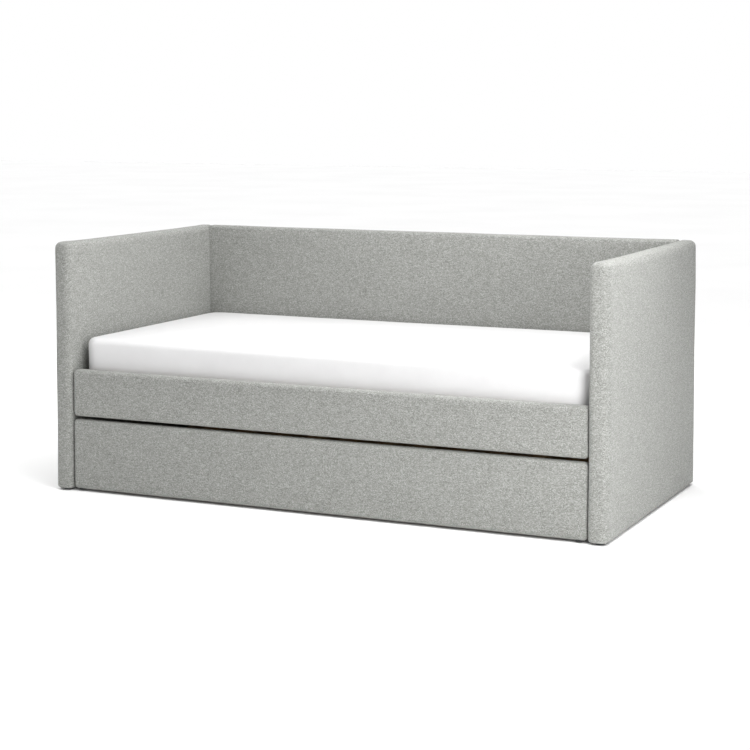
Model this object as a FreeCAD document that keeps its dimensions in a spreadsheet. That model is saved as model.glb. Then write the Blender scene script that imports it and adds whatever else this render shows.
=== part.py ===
import FreeCAD, Part
import os
import re

import Sketcher

# An upholstered daybed with a trundle that rolls out from under it.
# X runs along the bed, the front faces -Y, Z is up.  The origin lies on the floor under the middle.

SIZES = {
    # mattress, which sets the length and depth of the bed around it
    "mattress_length": 1905,
    "mattress_width": 940,
    "mattress_thickness": 198.2,
    "mattress_end_gap": 8,
    "mattress_side_gap": 4.65,
    "mattress_corner_radius": 70,
    "mattress_edge_radius": 25,
    "rest_gap": 0.3,
    # heights
    "arm_height": 889,
    "back_drop": 2,
    "floor_clearance": 8,
    # arms and back
    "arm_thickness": 70,
    "arm_padding": 16,
    "arm_edge_radius": 17,
    "arm_foot_radius": 12,
    "back_thickness": 61,
    "back_padding": 14,
    "frame_member": 70,
    "crossbar_drop": 20,
    "dust_cover_margin": 4,
    "dust_cover_thickness": 1,
    # floor glides
    "glide_radius": 16,
    "glide_inset": 40,
    "back_glide_spread": 960,
    "nail_radius": 1.5,
    "nail_length": 18,
    "front_glide_radius": 14,
    "front_glide_height": 6,
    "front_glide_inset": 27,
    "front_nail_length": 30,
    # front rail
    "front_setback": 12.7,
    "panel_end_gap": 4,
    "panel_edge_radius": 12,
    "board_margin": 2,
    "rail_bottom": 274,
    "rail_height": 169.7,
    "rail_thickness": 38,
    "rail_board_thickness": 20,
    # slatted deck
    "deck_height": 338,
    "slat_thickness": 18,
    "slat_width": 70,
    "slat_row_inset": 5.5,
    "slat_end_gap": 5.5,
    "ledger_width": 30,
    "ledger_height": 30,
    "ledger_end_gap": 5,
    "strap_width": 25,
    "strap_thickness": 1.5,
    "strap_spread": 600,
    # brackets, bolts and screws
    "bracket_thickness": 3,
    "bracket_height": 110,
    "bracket_arm_leg": 40,
    "bracket_panel_leg": 60,
    "rail_bracket_inset": 34,
    "back_bracket_bottom": 40,
    "back_bracket_pitch": 135,
    "bracket_bolt_inset": 25,
    "bracket_screw_inset": 30,
    "bracket_screw_edge": 15,
    "bracket_screw_pitch": 20,
    "bolt_radius": 4,
    "bolt_head_radius": 7,
    "bolt_head_height": 4,
    "bolt_grip": 26,
    "screw_radius": 2,
    "screw_head_radius": 4.5,
    "screw_head_depth": 3,
    "screw_grip": 14,
    # trundle
    "trundle_bottom": 11,
    "pull_gap": 12,
    "trundle_front_thickness": 30,
    "trundle_board_thickness": 16,
    "trundle_back_gap": 11.5,
    "trundle_side_gap": 15.5,
    "side_rail_width": 45,
    "side_rail_height": 40,
    "back_rail_thickness": 18,
    "beam_thickness": 18,
    "trundle_ledger_size": 25,
    "trundle_slat_thickness": 12,
    "trundle_slat_width": 70,
    "trundle_slat_inset": 10,
    "trundle_slat_gap": 2,
    "trundle_bracket_leg": 40,
    "trundle_bracket_height": 34,
    "trundle_screw_edge": 14,
    "trundle_screw_pitch": 16,
    "side_rail_screw_inset": 10,
    # casters
    "caster_front_gap": 8,
    "wheel_radius": 25,
    "wheel_top_gap": 5.5,
    "wheel_width": 23,
    "wheel_edge_radius": 3,
    "wheel_hub_radius": 9,
    "wheel_rim_thickness": 6,
    "wheel_dish_depth": 5,
    "axle_radius": 4,
    "axle_clearance": 0.06,
    "axle_head_radius": 6,
    "axle_head_height": 1.5,
    "fork_gap": 0.5,
    "fork_thickness": 2.5,
    "fork_depth": 30,
    "caster_plate_width": 44,
    "caster_plate_length": 60,
    "caster_screw_spread_long": 46,
    "caster_screw_spread_wide": 30,
}

SLAT_COUNT = 13
TRUNDLE_SLAT_COUNT = 13
LEDGER_SCREW_COUNT = 5
CUT_MARGIN = 1

SIDES = {"left": -1, "right": 1}

doc = FreeCAD.newDocument("TrundleBed")
sheet = doc.addObject("Spreadsheet::Sheet", "Sizes")
for row, (alias, value) in enumerate(SIZES.items(), start=1):
    sheet.set(f"A{row}", alias)
    sheet.set(f"B{row}", str(value))
    sheet.setAlias(f"B{row}", alias)
doc.recompute()

# Places worked out from the sizes, as expressions that the pieces below are bound to.
arm_inside = "(mattress_length / 2 + mattress_end_gap)"
bed_depth = "(front_setback + rail_thickness + 2 * mattress_side_gap + mattress_width + back_thickness)"
back_height = "(arm_height - back_drop)"
front_plane = f"(-{bed_depth} / 2)"
back_plane = f"({bed_depth} / 2)"
back_face = f"({back_plane} - back_thickness)"
panel_end = f"({arm_inside} - panel_end_gap)"
panel_front = f"({front_plane} + front_setback)"
rail_back = f"({panel_front} + rail_thickness)"
slat_bottom = "(deck_height - slat_thickness)"
ledger_bottom = f"({slat_bottom} - ledger_height)"
ledger_end = f"({arm_inside} - bracket_panel_leg - ledger_end_gap)"
crossbar_bottom = f"({ledger_bottom} - crossbar_drop)"
rail_bracket_bottom = "(rail_bottom + rail_bracket_inset)"
mattress_bottom = "(deck_height + strap_thickness + rest_gap)"
mattress_middle = f"(({rail_back} + {back_face}) / 2)"
trundle_back = f"({back_face} - trundle_back_gap)"
trundle_front_height = "(rail_bottom - pull_gap - trundle_bottom)"
trundle_front_back = f"({panel_front} + trundle_front_thickness)"
side_rail_outside = f"({arm_inside} - trundle_side_gap)"
side_rail_inside = f"({side_rail_outside} - side_rail_width)"
side_rail_end = f"({trundle_back} - back_rail_thickness)"
caster_height = "(2 * wheel_radius + wheel_top_gap + fork_thickness)"
trundle_deck_bottom = f"({caster_height} + side_rail_height)"


def sized(text):
    """Turn the plain size names in an expression into references to the sheet."""
    def reference(word):
        return f"Sizes.{word.group()}" if word.group() in SIZES else word.group()
    return re.sub(r"[a-z_]+", reference, text)


def bind(item, path, text):
    item.setExpression(path, sized(str(text)))


def place(item, x, y, z, rotation=None):
    """Put an item at a bound position, turned as the given rotation."""
    item.Placement = FreeCAD.Placement(FreeCAD.Vector(), rotation or FreeCAD.Rotation())
    bind(item, "Placement.Base.x", x)
    bind(item, "Placement.Base.y", y)
    bind(item, "Placement.Base.z", z)


def mirrored_start(side, inner, width):
    """The low X end of a piece that spans inner to inner + width on the given side."""
    return inner if side > 0 else f"(-{inner} - {width})"


def block(name, low, size):
    """A rectangular piece from its low corner and its size."""
    item = doc.addObject("Part::Box", name)
    bind(item, "Length", size[0])
    bind(item, "Width", size[1])
    bind(item, "Height", size[2])
    place(item, *low)
    return item


ALONG = {
    "+X": FreeCAD.Rotation(FreeCAD.Vector(0, 1, 0), 90),
    "-X": FreeCAD.Rotation(FreeCAD.Vector(0, 1, 0), -90),
    "+Y": FreeCAD.Rotation(FreeCAD.Vector(1, 0, 0), -90),
    "-Y": FreeCAD.Rotation(FreeCAD.Vector(1, 0, 0), 90),
    "+Z": FreeCAD.Rotation(),
    "-Z": FreeCAD.Rotation(FreeCAD.Vector(1, 0, 0), 180),
}


def rod(name, start, radius, length, direction):
    """A round piece from the centre of its first face, running along a direction."""
    item = doc.addObject("Part::Cylinder", name)
    bind(item, "Radius", radius)
    bind(item, "Height", length)
    place(item, *start, ALONG[direction])
    return item


def joined(name, pieces):
    item = doc.addObject("Part::MultiFuse", name)
    item.Shapes = pieces
    return item


def cut(name, base, tool):
    item = doc.addObject("Part::Cut", name)
    item.Base = base
    item.Tool = tool
    return item


def grouped(name, pieces):
    item = doc.addObject("Part::Compound", name)
    item.Links = pieces
    return item


def screws(name, heads, direction, length):
    """Countersunk screws whose heads lie flush at the given points."""
    pieces = []
    for number, head in enumerate(heads):
        shank = rod(f"{name}_shank_{number}", head, "screw_radius", length, direction)
        cone = doc.addObject("Part::Cone", f"{name}_head_{number}")
        bind(cone, "Radius1", "screw_head_radius")
        bind(cone, "Radius2", "screw_radius")
        bind(cone, "Height", "screw_head_depth")
        place(cone, *head, ALONG[direction])
        pieces += [shank, cone]
    return joined(name, pieces)


def bolts(name, heads, direction):
    """Hexagon bolts whose heads sit on the given points."""
    pieces = []
    for number, head in enumerate(heads):
        shank = rod(f"{name}_shank_{number}", head, "bolt_radius",
                    "(bracket_thickness + arm_padding + bolt_grip)", direction)
        hexagon = doc.addObject("Part::Prism", f"{name}_head_{number}")
        hexagon.Polygon = 6
        bind(hexagon, "Circumradius", "bolt_head_radius")
        bind(hexagon, "Height", "bolt_head_height")
        opposite = ("-" if direction[0] == "+" else "+") + direction[1]
        place(hexagon, *head, ALONG[opposite])
        pieces += [shank, hexagon]
    return joined(name, pieces)


def plan_sketch(body, name, low, size):
    """A rectangle in plan, with its corner, size and height bound to the sizes."""
    sketch = body.newObject("Sketcher::SketchObject", name)
    plane = next(item for item in body.Origin.OriginFeatures if item.Role == "XY_Plane")
    sketch.AttachmentSupport = [(plane, "")]
    sketch.MapMode = "FlatFace"
    bind(sketch, "AttachmentOffset.Base.z", low[2])
    corners = [(0, 0), (10, 0), (10, 10), (0, 10)]
    for index, corner in enumerate(corners):
        following = corners[(index + 1) % 4]
        sketch.addGeometry(Part.LineSegment(FreeCAD.Vector(*corner, 0), FreeCAD.Vector(*following, 0)))
    for index in range(4):
        sketch.addConstraint(Sketcher.Constraint("Coincident", index, 2, (index + 1) % 4, 1))
    sketch.addConstraint(Sketcher.Constraint("Horizontal", 0))
    sketch.addConstraint(Sketcher.Constraint("Horizontal", 2))
    sketch.addConstraint(Sketcher.Constraint("Vertical", 1))
    sketch.addConstraint(Sketcher.Constraint("Vertical", 3))
    for kind, text in (("DistanceX", size[0]), ("DistanceY", size[1])):
        index = sketch.addConstraint(Sketcher.Constraint(kind, 0 if kind == "DistanceX" else 1, 1,
                                                         0 if kind == "DistanceX" else 1, 2, 10.0))
        bind(sketch, f"Constraints[{index}]", text)
    for kind, text in (("DistanceX", low[0]), ("DistanceY", low[1])):
        index = sketch.addConstraint(Sketcher.Constraint(kind, -1, 1, 0, 1, 5.0))
        bind(sketch, f"Constraints[{index}]", text)
    return sketch


def rounded(body, base, edges, radius, name):
    fillet = body.newObject("PartDesign::Fillet", name)
    fillet.Base = (base, edges)
    bind(fillet, "Radius", radius)
    doc.recompute()
    return fillet


def edges_where(shape, test):
    return [f"Edge{number}" for number, edge in enumerate(shape.Edges, start=1) if test(edge.BoundBox)]


def carved(name, low, size, cuts=(), upright_radius=None, top_radius=None, foot_radius=None):
    """A block with rounded edges and rectangular recesses, each cut given by its low corner and size."""
    body = doc.addObject("PartDesign::Body", name)
    outline = plan_sketch(body, f"{name}_outline", low, size)
    pad = body.newObject("PartDesign::Pad", f"{name}_pad")
    pad.Profile = outline
    bind(pad, "Length", size[2])
    doc.recompute()
    solid = pad
    box = solid.Shape.BoundBox
    if upright_radius:
        uprights = edges_where(solid.Shape, lambda edge: edge.ZLength > box.ZLength / 2)
        if top_radius == upright_radius:
            uprights += edges_where(solid.Shape, lambda edge: edge.ZMin > box.ZMax - 0.01)
        solid = rounded(body, solid, uprights, upright_radius, f"{name}_uprights")
    if top_radius and top_radius != upright_radius:
        top = edges_where(solid.Shape, lambda edge: edge.ZMin > box.ZMax - 0.01)
        solid = rounded(body, solid, top, top_radius, f"{name}_top")
    if foot_radius:
        foot = edges_where(solid.Shape, lambda edge: edge.ZMax < box.ZMin + 0.01)
        solid = rounded(body, solid, foot, foot_radius, f"{name}_foot")
    for number, (cut_low, cut_size) in enumerate(cuts):
        before = solid.Shape.Volume
        recess = plan_sketch(body, f"{name}_recess_outline_{number}", cut_low, cut_size)
        pocket = body.newObject("PartDesign::Pocket", f"{name}_recess_{number}")
        pocket.Profile = recess
        pocket.Reversed = True
        bind(pocket, "Length", cut_size[2])
        doc.recompute()
        if pocket.Shape.Volume > before - 1:
            raise RuntimeError(f"{name}: recess {number} removes nothing")
        solid = pocket
    body.Tip = solid
    return body


nodes = []


def keep(item, label):
    """Name a finished piece; the name is also its file's name."""
    item.Label = label
    nodes.append(item)


# ---- Arms: a timber ladder frame with a honeycomb infill, wrapped in foam and tweed ------------------

arm_frame_height = "(arm_height - arm_padding - floor_clearance)"
arm_frame_depth = f"({bed_depth} - 2 * arm_padding)"
arm_frame_thickness = "(arm_thickness - 2 * arm_padding)"
dust_cover_inset = "(arm_foot_radius + dust_cover_margin)"


def window_levels(top):
    """The windows below and above a frame's crossbar: name, bottom and height of each."""
    lower = ("lower", "(floor_clearance + frame_member)",
             f"({crossbar_bottom} - floor_clearance - frame_member)")
    upper = ("upper", f"({crossbar_bottom} + frame_member)", f"({top} - {crossbar_bottom} - 2 * frame_member)")
    return lower, upper


# Bolts hold the rail and the back to the arms through steel angles.
bolt_rows = [f"({rail_back} + bracket_arm_leg / 2)", f"({back_face} - bracket_arm_leg / 2)"]
rail_bolt_heights = [f"({rail_bracket_bottom} + {offset})"
                     for offset in ("bracket_bolt_inset", "(bracket_height - bracket_bolt_inset)")]
back_bracket_bottoms = ["back_bracket_bottom", "(back_bracket_bottom + back_bracket_pitch)"]
bolt_head_face = f"({arm_inside} - bracket_thickness)"

arm_bolts = {}
for side_name, side in SIDES.items():
    heads = []
    for height in rail_bolt_heights:
        heads.append((f"({side} * {bolt_head_face})", bolt_rows[0], height))
    for bottom in back_bracket_bottoms:
        for offset in ("bracket_bolt_inset", "(bracket_height - bracket_bolt_inset)"):
            heads.append((f"({side} * {bolt_head_face})", bolt_rows[1], f"({bottom} + {offset})"))
    arm_bolts[side_name] = bolts(f"arm_bolts_{side_name}", heads, "+X" if side > 0 else "-X")

# Round glides are nailed under the arms and the back.
glide_height = "(floor_clearance - dust_cover_thickness)"


def glide(name, place_on_floor, radius="glide_radius", height=glide_height, nail_length="nail_length"):
    """A round foot from the centre of its underside, with the nail that holds it."""
    x, y, z = place_on_floor
    disc = rod(f"{name}_disc", place_on_floor, radius, height, "+Z")
    nail = rod(f"{name}_nail", (x, y, f"({z} + {height})"), "nail_radius", nail_length, "+Z")
    return joined(name, [disc, nail])


arm_glides = {}
arm_middle = f"({arm_inside} + arm_thickness / 2)"
for side_name, side in SIDES.items():
    for end_name, end in (("front", -1), ("back", 1)):
        arm_glides[side_name, end_name] = glide(
            f"glide_{side_name}_{end_name}",
            (f"({side} * {arm_middle})", f"({end} * ({back_plane} - glide_inset))", "0"))

for side_name, side in SIDES.items():
    frame_x = mirrored_start(side, f"({arm_inside} + arm_padding)", arm_frame_thickness)
    frame_low = (frame_x, f"({front_plane} + arm_padding)", "floor_clearance")
    frame_size = (arm_frame_thickness, arm_frame_depth, arm_frame_height)
    tools = grouped(f"arm_fasteners_{side_name}",
                    [arm_bolts[side_name], arm_glides[side_name, "front"], arm_glides[side_name, "back"]])
    window_y = f"({front_plane} + arm_padding + frame_member)"
    window_depth = f"({arm_frame_depth} - 2 * frame_member)"
    windows = []
    infills = []
    for level, window_z, window_height in window_levels("(arm_height - arm_padding)"):
        windows.append(((f"({frame_x} - {CUT_MARGIN})", window_y, window_z),
                        (f"({arm_frame_thickness} + {2 * CUT_MARGIN})", window_depth, window_height)))
        infills.append(block(f"arm_infill_{side_name}_{level}", (frame_x, window_y, window_z),
                             (arm_frame_thickness, window_depth, window_height)))
    frame = carved(f"arm_frame_body_{side_name}", frame_low, frame_size, windows)
    keep(cut(f"arm_frame_{side_name}_cut", frame, tools), f"arm_frame_{side_name}")
    keep(grouped(f"arm_infill_{side_name}_group", infills), f"arm_infill_{side_name}")
    cover = carved(
        f"arm_padding_body_{side_name}",
        (mirrored_start(side, arm_inside, "arm_thickness"), front_plane, "floor_clearance"),
        ("arm_thickness", bed_depth, "(arm_height - floor_clearance)"),
        [((frame_x, frame_low[1], f"(floor_clearance - {CUT_MARGIN})"),
          (frame_size[0], frame_size[1], f"({arm_frame_height} + {CUT_MARGIN})"))],
        "arm_edge_radius", "arm_edge_radius", "arm_foot_radius")
    keep(cut(f"arm_padding_{side_name}_cut", cover, arm_bolts[side_name]), f"arm_padding_{side_name}")
    strip_width = f"(arm_thickness - 2 * {dust_cover_inset})"
    strip = block(
        f"arm_dust_cover_{side_name}_strip",
        (mirrored_start(side, f"({arm_inside} + {dust_cover_inset})", strip_width),
         f"({front_plane} + {dust_cover_inset})", glide_height),
        (strip_width, f"({bed_depth} - 2 * {dust_cover_inset})", "dust_cover_thickness"))
    keep(cut(f"arm_dust_cover_{side_name}_cut", strip, tools), f"arm_dust_cover_{side_name}")


# ---- Back panel: the same build, held between the arms --------------------------------------------------

back_frame_x = f"(-{arm_inside} + back_padding)"
back_frame_y = f"({back_face} + back_padding)"
back_frame_width = f"(2 * {arm_inside} - 2 * back_padding)"
back_frame_thickness = "(back_thickness - 2 * back_padding)"
back_frame_height = f"({back_height} - back_padding - floor_clearance)"
back_window_width = f"(({back_frame_width} - 3 * frame_member) / 2)"

bracket_panel_inside = f"({arm_inside} - bracket_panel_leg)"
bracket_screw_columns = ["bracket_screw_edge", "(bracket_screw_edge + bracket_screw_pitch)"]
bracket_screw_rows = ["bracket_screw_inset", "(bracket_height - bracket_screw_inset)"]

back_bracket_screw_heads = []
for side in SIDES.values():
    for bottom in back_bracket_bottoms:
        for column in bracket_screw_columns:
            for offset in bracket_screw_rows:
                back_bracket_screw_heads.append(
                    (f"({side} * ({bracket_panel_inside} + {column}))", f"({back_face} - bracket_thickness)",
                     f"({bottom} + {offset})"))
back_bracket_screws = screws("back_bracket_screws", back_bracket_screw_heads, "+Y",
                             "(bracket_thickness + back_padding + screw_grip)")

ledger_screw_height = f"({ledger_bottom} + ledger_height / 2)"
back_ledger_heads = []
rail_ledger_heads = []
for number in range(LEDGER_SCREW_COUNT):
    share = (2 * number + 1) / LEDGER_SCREW_COUNT - 1
    screw_x = f"({share} * {ledger_end})"
    back_ledger_heads.append((screw_x, f"({back_face} - ledger_width)", ledger_screw_height))
    rail_ledger_heads.append((screw_x, f"({rail_back} + ledger_width)", ledger_screw_height))
back_ledger_screws = screws("back_ledger_screws", back_ledger_heads, "+Y",
                            "(ledger_width + back_padding + screw_grip)")
rail_ledger_screws = screws("rail_ledger_screws", rail_ledger_heads, "-Y", "(ledger_width + screw_grip)")

back_glides = [glide(f"glide_back_{name}",
                     (f"({side} * back_glide_spread / 2)", f"({back_plane} - back_thickness / 2)", "0"))
               for name, side in SIDES.items()]
back_tools = grouped("back_fasteners", [back_bracket_screws, back_ledger_screws, *back_glides])

back_windows = []
back_infills = []
for level, window_z, window_height in window_levels(f"({back_height} - back_padding)"):
    for column in range(2):
        window_x = f"({back_frame_x} + frame_member + {column} * ({back_window_width} + frame_member))"
        window_depth = f"({back_frame_thickness} + {2 * CUT_MARGIN})"
        back_windows.append(((window_x, f"({back_frame_y} - {CUT_MARGIN})", window_z),
                             (back_window_width, window_depth, window_height)))
        back_infills.append(block(f"back_infill_{level}_{column}", (window_x, back_frame_y, window_z),
                                  (back_window_width, back_frame_thickness, window_height)))
back_frame = carved("back_frame_body", (back_frame_x, back_frame_y, "floor_clearance"),
                    (back_frame_width, back_frame_thickness, back_frame_height), back_windows)
keep(cut("back_frame_cut", back_frame, back_tools), "back_frame")
keep(cut("back_infill_cut", grouped("back_infill_group", back_infills), back_tools), "back_infill")
back_cover = carved(
    "back_padding_body", (f"(-{arm_inside})", back_face, "floor_clearance"),
    (f"(2 * {arm_inside})", "back_thickness", f"({back_height} - floor_clearance)"),
    [((back_frame_x, back_frame_y, f"(floor_clearance - {CUT_MARGIN})"),
      (back_frame_width, back_frame_thickness, f"({back_frame_height} + {CUT_MARGIN})"))],
    "arm_foot_radius", "arm_foot_radius", "arm_foot_radius")
keep(cut("back_padding_cut", back_cover, back_tools), "back_padding")
back_strip = block(
    "back_dust_cover_strip",
    (f"(-{arm_inside} + {dust_cover_inset})", f"({back_face} + {dust_cover_inset})", glide_height),
    (f"(2 * {arm_inside} - 2 * {dust_cover_inset})", f"(back_thickness - 2 * {dust_cover_inset})",
     "dust_cover_thickness"))
keep(cut("back_dust_cover_cut", back_strip, back_tools), "back_dust_cover")

keep(grouped("floor_glides_group", [*arm_glides.values(), *back_glides]), "floor_glides")


# ---- Front rail: a plywood board in foam and tweed, open at its hidden back face ----------------------

def faced_board(name, bottom, height, thickness, board_thickness, tools, nails=None):
    """An upholstered front: its board sits flush in the back of the padding; nails go through both."""
    inset = "(panel_edge_radius + board_margin)"
    board_low = (f"(-{panel_end} + {inset})", f"({panel_front} + {thickness} - {board_thickness})",
                 f"({bottom} + {inset})")
    board_size = (f"(2 * {panel_end} - 2 * {inset})", board_thickness, f"({height} - 2 * {inset})")
    board = block(f"{name}_board_block", board_low, board_size)
    keep(cut(f"{name}_board_cut", board, tools), f"{name}_board")
    cover = carved(
        f"{name}_padding_body",
        (f"(-{panel_end})", panel_front, bottom), (f"(2 * {panel_end})", thickness, height),
        [(board_low, (board_size[0], f"({board_thickness} + {CUT_MARGIN})", board_size[2]))],
        "panel_edge_radius", "panel_edge_radius", "panel_edge_radius")
    keep(cut(f"{name}_padding_cut", cover, nails) if nails else cover, f"{name}_padding")


rail_bracket_screw_heads = []
for side in SIDES.values():
    for column in bracket_screw_columns:
        for offset in bracket_screw_rows:
            rail_bracket_screw_heads.append(
                (f"({side} * ({bracket_panel_inside} + {column}))", f"({rail_back} + bracket_thickness)",
                 f"({rail_bracket_bottom} + {offset})"))
rail_bracket_screws = screws("rail_bracket_screws", rail_bracket_screw_heads, "-Y",
                             "(bracket_thickness + screw_grip)")
faced_board("rail", "rail_bottom", "rail_height", "rail_thickness", "rail_board_thickness",
            grouped("rail_fasteners", [rail_bracket_screws, rail_ledger_screws]))


# ---- Steel angles at the four inside corners -----------------------------------------------------------

def angle(name, side, panel_face, inward, bottom, height, arm_face, arm_leg, panel_leg):
    """A steel angle: one leg on a panel's face, one leg on the side piece at arm_face."""
    plate_y = panel_face if inward > 0 else f"({panel_face} - bracket_thickness)"
    leg_y = panel_face if inward > 0 else f"({panel_face} - {arm_leg})"
    plate = block(f"{name}_plate",
                  (mirrored_start(side, f"({arm_face} - {panel_leg})", panel_leg), plate_y, bottom),
                  (panel_leg, "bracket_thickness", height))
    leg = block(f"{name}_leg",
                (mirrored_start(side, f"({arm_face} - bracket_thickness)", "bracket_thickness"), leg_y,
                 bottom),
                ("bracket_thickness", arm_leg, height))
    return joined(name, [plate, leg])


all_arm_bolts = grouped("arm_bolts_group", list(arm_bolts.values()))
rail_angles = []
back_angles = []
for side_name, side in SIDES.items():
    rail_angles.append(angle(f"rail_angle_{side_name}", side, rail_back, 1, rail_bracket_bottom,
                             "bracket_height", arm_inside, "bracket_arm_leg", "bracket_panel_leg"))
    for number, bottom in enumerate(back_bracket_bottoms):
        back_angles.append(angle(f"back_angle_{side_name}_{number}", side, back_face, -1, bottom,
                                 "bracket_height", arm_inside, "bracket_arm_leg", "bracket_panel_leg"))
rail_angle_tools = grouped("rail_angle_fasteners", [rail_bracket_screws, all_arm_bolts])
back_angle_tools = grouped("back_angle_fasteners", [back_bracket_screws, all_arm_bolts])
keep(cut("rail_brackets_cut", grouped("rail_angles", rail_angles), rail_angle_tools), "rail_brackets")
keep(cut("back_brackets_cut", grouped("back_angles", back_angles), back_angle_tools), "back_brackets")
keep(all_arm_bolts, "frame_bolts")
keep(grouped("bracket_screws_group", [rail_bracket_screws, back_bracket_screws]), "bracket_screws")


# ---- Slatted deck: pine slats on two ledgers, spaced by two webbing straps ----------------------------

slat_front = f"({rail_back} + slat_end_gap)"
slat_length = f"({back_face} - {rail_back} - 2 * slat_end_gap)"
slat_reach = f"({ledger_end} - slat_width / 2 - slat_row_inset)"
slats = []
slat_screw_heads = {"front": [], "back": []}
for number in range(SLAT_COUNT):
    middle = f"({2 * number / (SLAT_COUNT - 1) - 1} * {slat_reach})"
    slats.append(block(f"slat_{number}", (f"({middle} - slat_width / 2)", slat_front, slat_bottom),
                       ("slat_width", slat_length, "slat_thickness")))
    slat_screw_heads["front"].append((middle, f"({rail_back} + ledger_width / 2)", "deck_height"))
    slat_screw_heads["back"].append((middle, f"({back_face} - ledger_width / 2)", "deck_height"))
slat_screws = screws("slat_screws_all", [*slat_screw_heads["front"], *slat_screw_heads["back"]], "-Z",
                     "(slat_thickness + ledger_height / 3)")
keep(cut("bed_slats_cut", grouped("slat_row", slats), slat_screws), "bed_slats")
keep(slat_screws, "slat_screws")

rail_ledger = block("rail_ledger_block", (f"(-{ledger_end})", rail_back, ledger_bottom),
                    (f"(2 * {ledger_end})", "ledger_width", "ledger_height"))
rail_ledger_tools = grouped("rail_ledger_fasteners", [slat_screws, rail_ledger_screws])
keep(cut("rail_ledger_cut", rail_ledger, rail_ledger_tools), "rail_ledger")
back_ledger = block("back_ledger_block", (f"(-{ledger_end})", f"({back_face} - ledger_width)", ledger_bottom),
                    (f"(2 * {ledger_end})", "ledger_width", "ledger_height"))
back_ledger_tools = grouped("back_ledger_fasteners", [slat_screws, back_ledger_screws])
keep(cut("back_ledger_cut", back_ledger, back_ledger_tools), "back_ledger")
keep(grouped("ledger_screws_group", [rail_ledger_screws, back_ledger_screws]), "ledger_screws")

strap_length = f"(2 * {slat_reach} + slat_width)"
straps = []
for number, side in enumerate(SIDES.values()):
    strap_y = f"({mattress_middle} + {side} * strap_spread / 2 - strap_width / 2)"
    straps.append(block(f"strap_{number}", (f"(-{strap_length} / 2)", strap_y, "deck_height"),
                        (strap_length, "strap_width", "strap_thickness")))
keep(grouped("slat_straps_group", straps), "slat_straps")


# ---- Mattress: lies loose on the slats -------------------------------------------------------------------

mattress_low = ("(-mattress_length / 2)", f"({mattress_middle} - mattress_width / 2)", mattress_bottom)
mattress_size = ("mattress_length", "mattress_width", "mattress_thickness")
mattress = carved("mattress_body", mattress_low, mattress_size, (),
                  "mattress_corner_radius", "mattress_edge_radius", "mattress_edge_radius")
keep(mattress, "mattress")


# ---- Trundle carcass: an upholstered front, two side rails, a back rail and a centre beam ----------

trundle_ledger_end = f"({side_rail_inside} - trundle_bracket_leg)"
trundle_ledger_bottom = f"({trundle_deck_bottom} - trundle_ledger_size)"
trundle_bracket_bottom = f"({caster_height} + (side_rail_height - trundle_bracket_height) / 2)"
bracket_screw_height = f"({caster_height} + side_rail_height / 2)"

trundle_ledger_heads = []
for number in range(LEDGER_SCREW_COUNT):
    share = (2 * number + 1) / LEDGER_SCREW_COUNT - 1
    trundle_ledger_heads.append((f"({share} * {trundle_ledger_end})",
                                 f"({trundle_front_back} + trundle_ledger_size)",
                                 f"({trundle_ledger_bottom} + trundle_ledger_size / 2)"))
trundle_ledger_screws = screws("trundle_ledger_screws", trundle_ledger_heads, "-Y",
                               "(trundle_ledger_size + screw_grip)")

front_angle_heads = []
side_angle_heads = {"left": [], "right": []}
back_rail_heads = []
beam_heads = {"left": [], "right": []}
beam_y = f"(({trundle_front_back} + {trundle_back}) / 2 - beam_thickness / 2)"
for side_name, side in SIDES.items():
    for offset in ("trundle_screw_edge", "(trundle_screw_edge + trundle_screw_pitch)"):
        front_angle_heads.append((f"({side} * ({side_rail_inside} - {offset}))",
                                  f"({trundle_front_back} + bracket_thickness)", bracket_screw_height))
        side_angle_heads[side_name].append((f"({side} * ({side_rail_inside} - bracket_thickness))",
                                            f"({trundle_front_back} + {offset})", bracket_screw_height))
    for offset in ("side_rail_screw_inset", "(side_rail_height - side_rail_screw_inset)"):
        back_rail_heads.append((f"({side} * ({side_rail_outside} - side_rail_width / 2))", trundle_back,
                                f"({caster_height} + {offset})"))
        beam_heads[side_name].append((f"({side} * {side_rail_outside})", f"({beam_y} + beam_thickness / 2)",
                                      f"({caster_height} + {offset})"))
front_angle_screws = screws("front_angle_screws", front_angle_heads, "-Y", "screw_grip")
back_rail_screws = screws("back_rail_screws", back_rail_heads, "-Y", "(back_rail_thickness + 2 * screw_grip)")
side_angle_screws = {}
beam_screws = {}
for side_name, side in SIDES.items():
    outward = "+X" if side > 0 else "-X"
    inward = "-X" if side > 0 else "+X"
    side_angle_screws[side_name] = screws(f"side_angle_screws_{side_name}", side_angle_heads[side_name],
                                          outward, "(bracket_thickness + screw_grip)")
    beam_screws[side_name] = screws(f"beam_screws_{side_name}", beam_heads[side_name], inward,
                                    "(side_rail_width + 2 * screw_grip)")

# Caster places: one near each end of both side rails.
caster_x = f"({side_rail_outside} - side_rail_width / 2)"
caster_rows = {
    "front": f"({trundle_front_back} + caster_front_gap + wheel_radius)",
    "back": f"({side_rail_end} - caster_front_gap - wheel_radius)",
}
caster_screws = {}
for side_name, side in SIDES.items():
    heads = []
    for row_y in caster_rows.values():
        for along in (-0.5, 0.5):
            for across in (-0.5, 0.5):
                heads.append((f"({side} * {caster_x} + {across} * caster_screw_spread_wide)",
                              f"({row_y} + {along} * caster_screw_spread_long)",
                              f"({caster_height} - fork_thickness)"))
    caster_screws[side_name] = screws(f"caster_screws_{side_name}", heads, "+Z",
                                      "(fork_thickness + screw_grip)")

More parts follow.
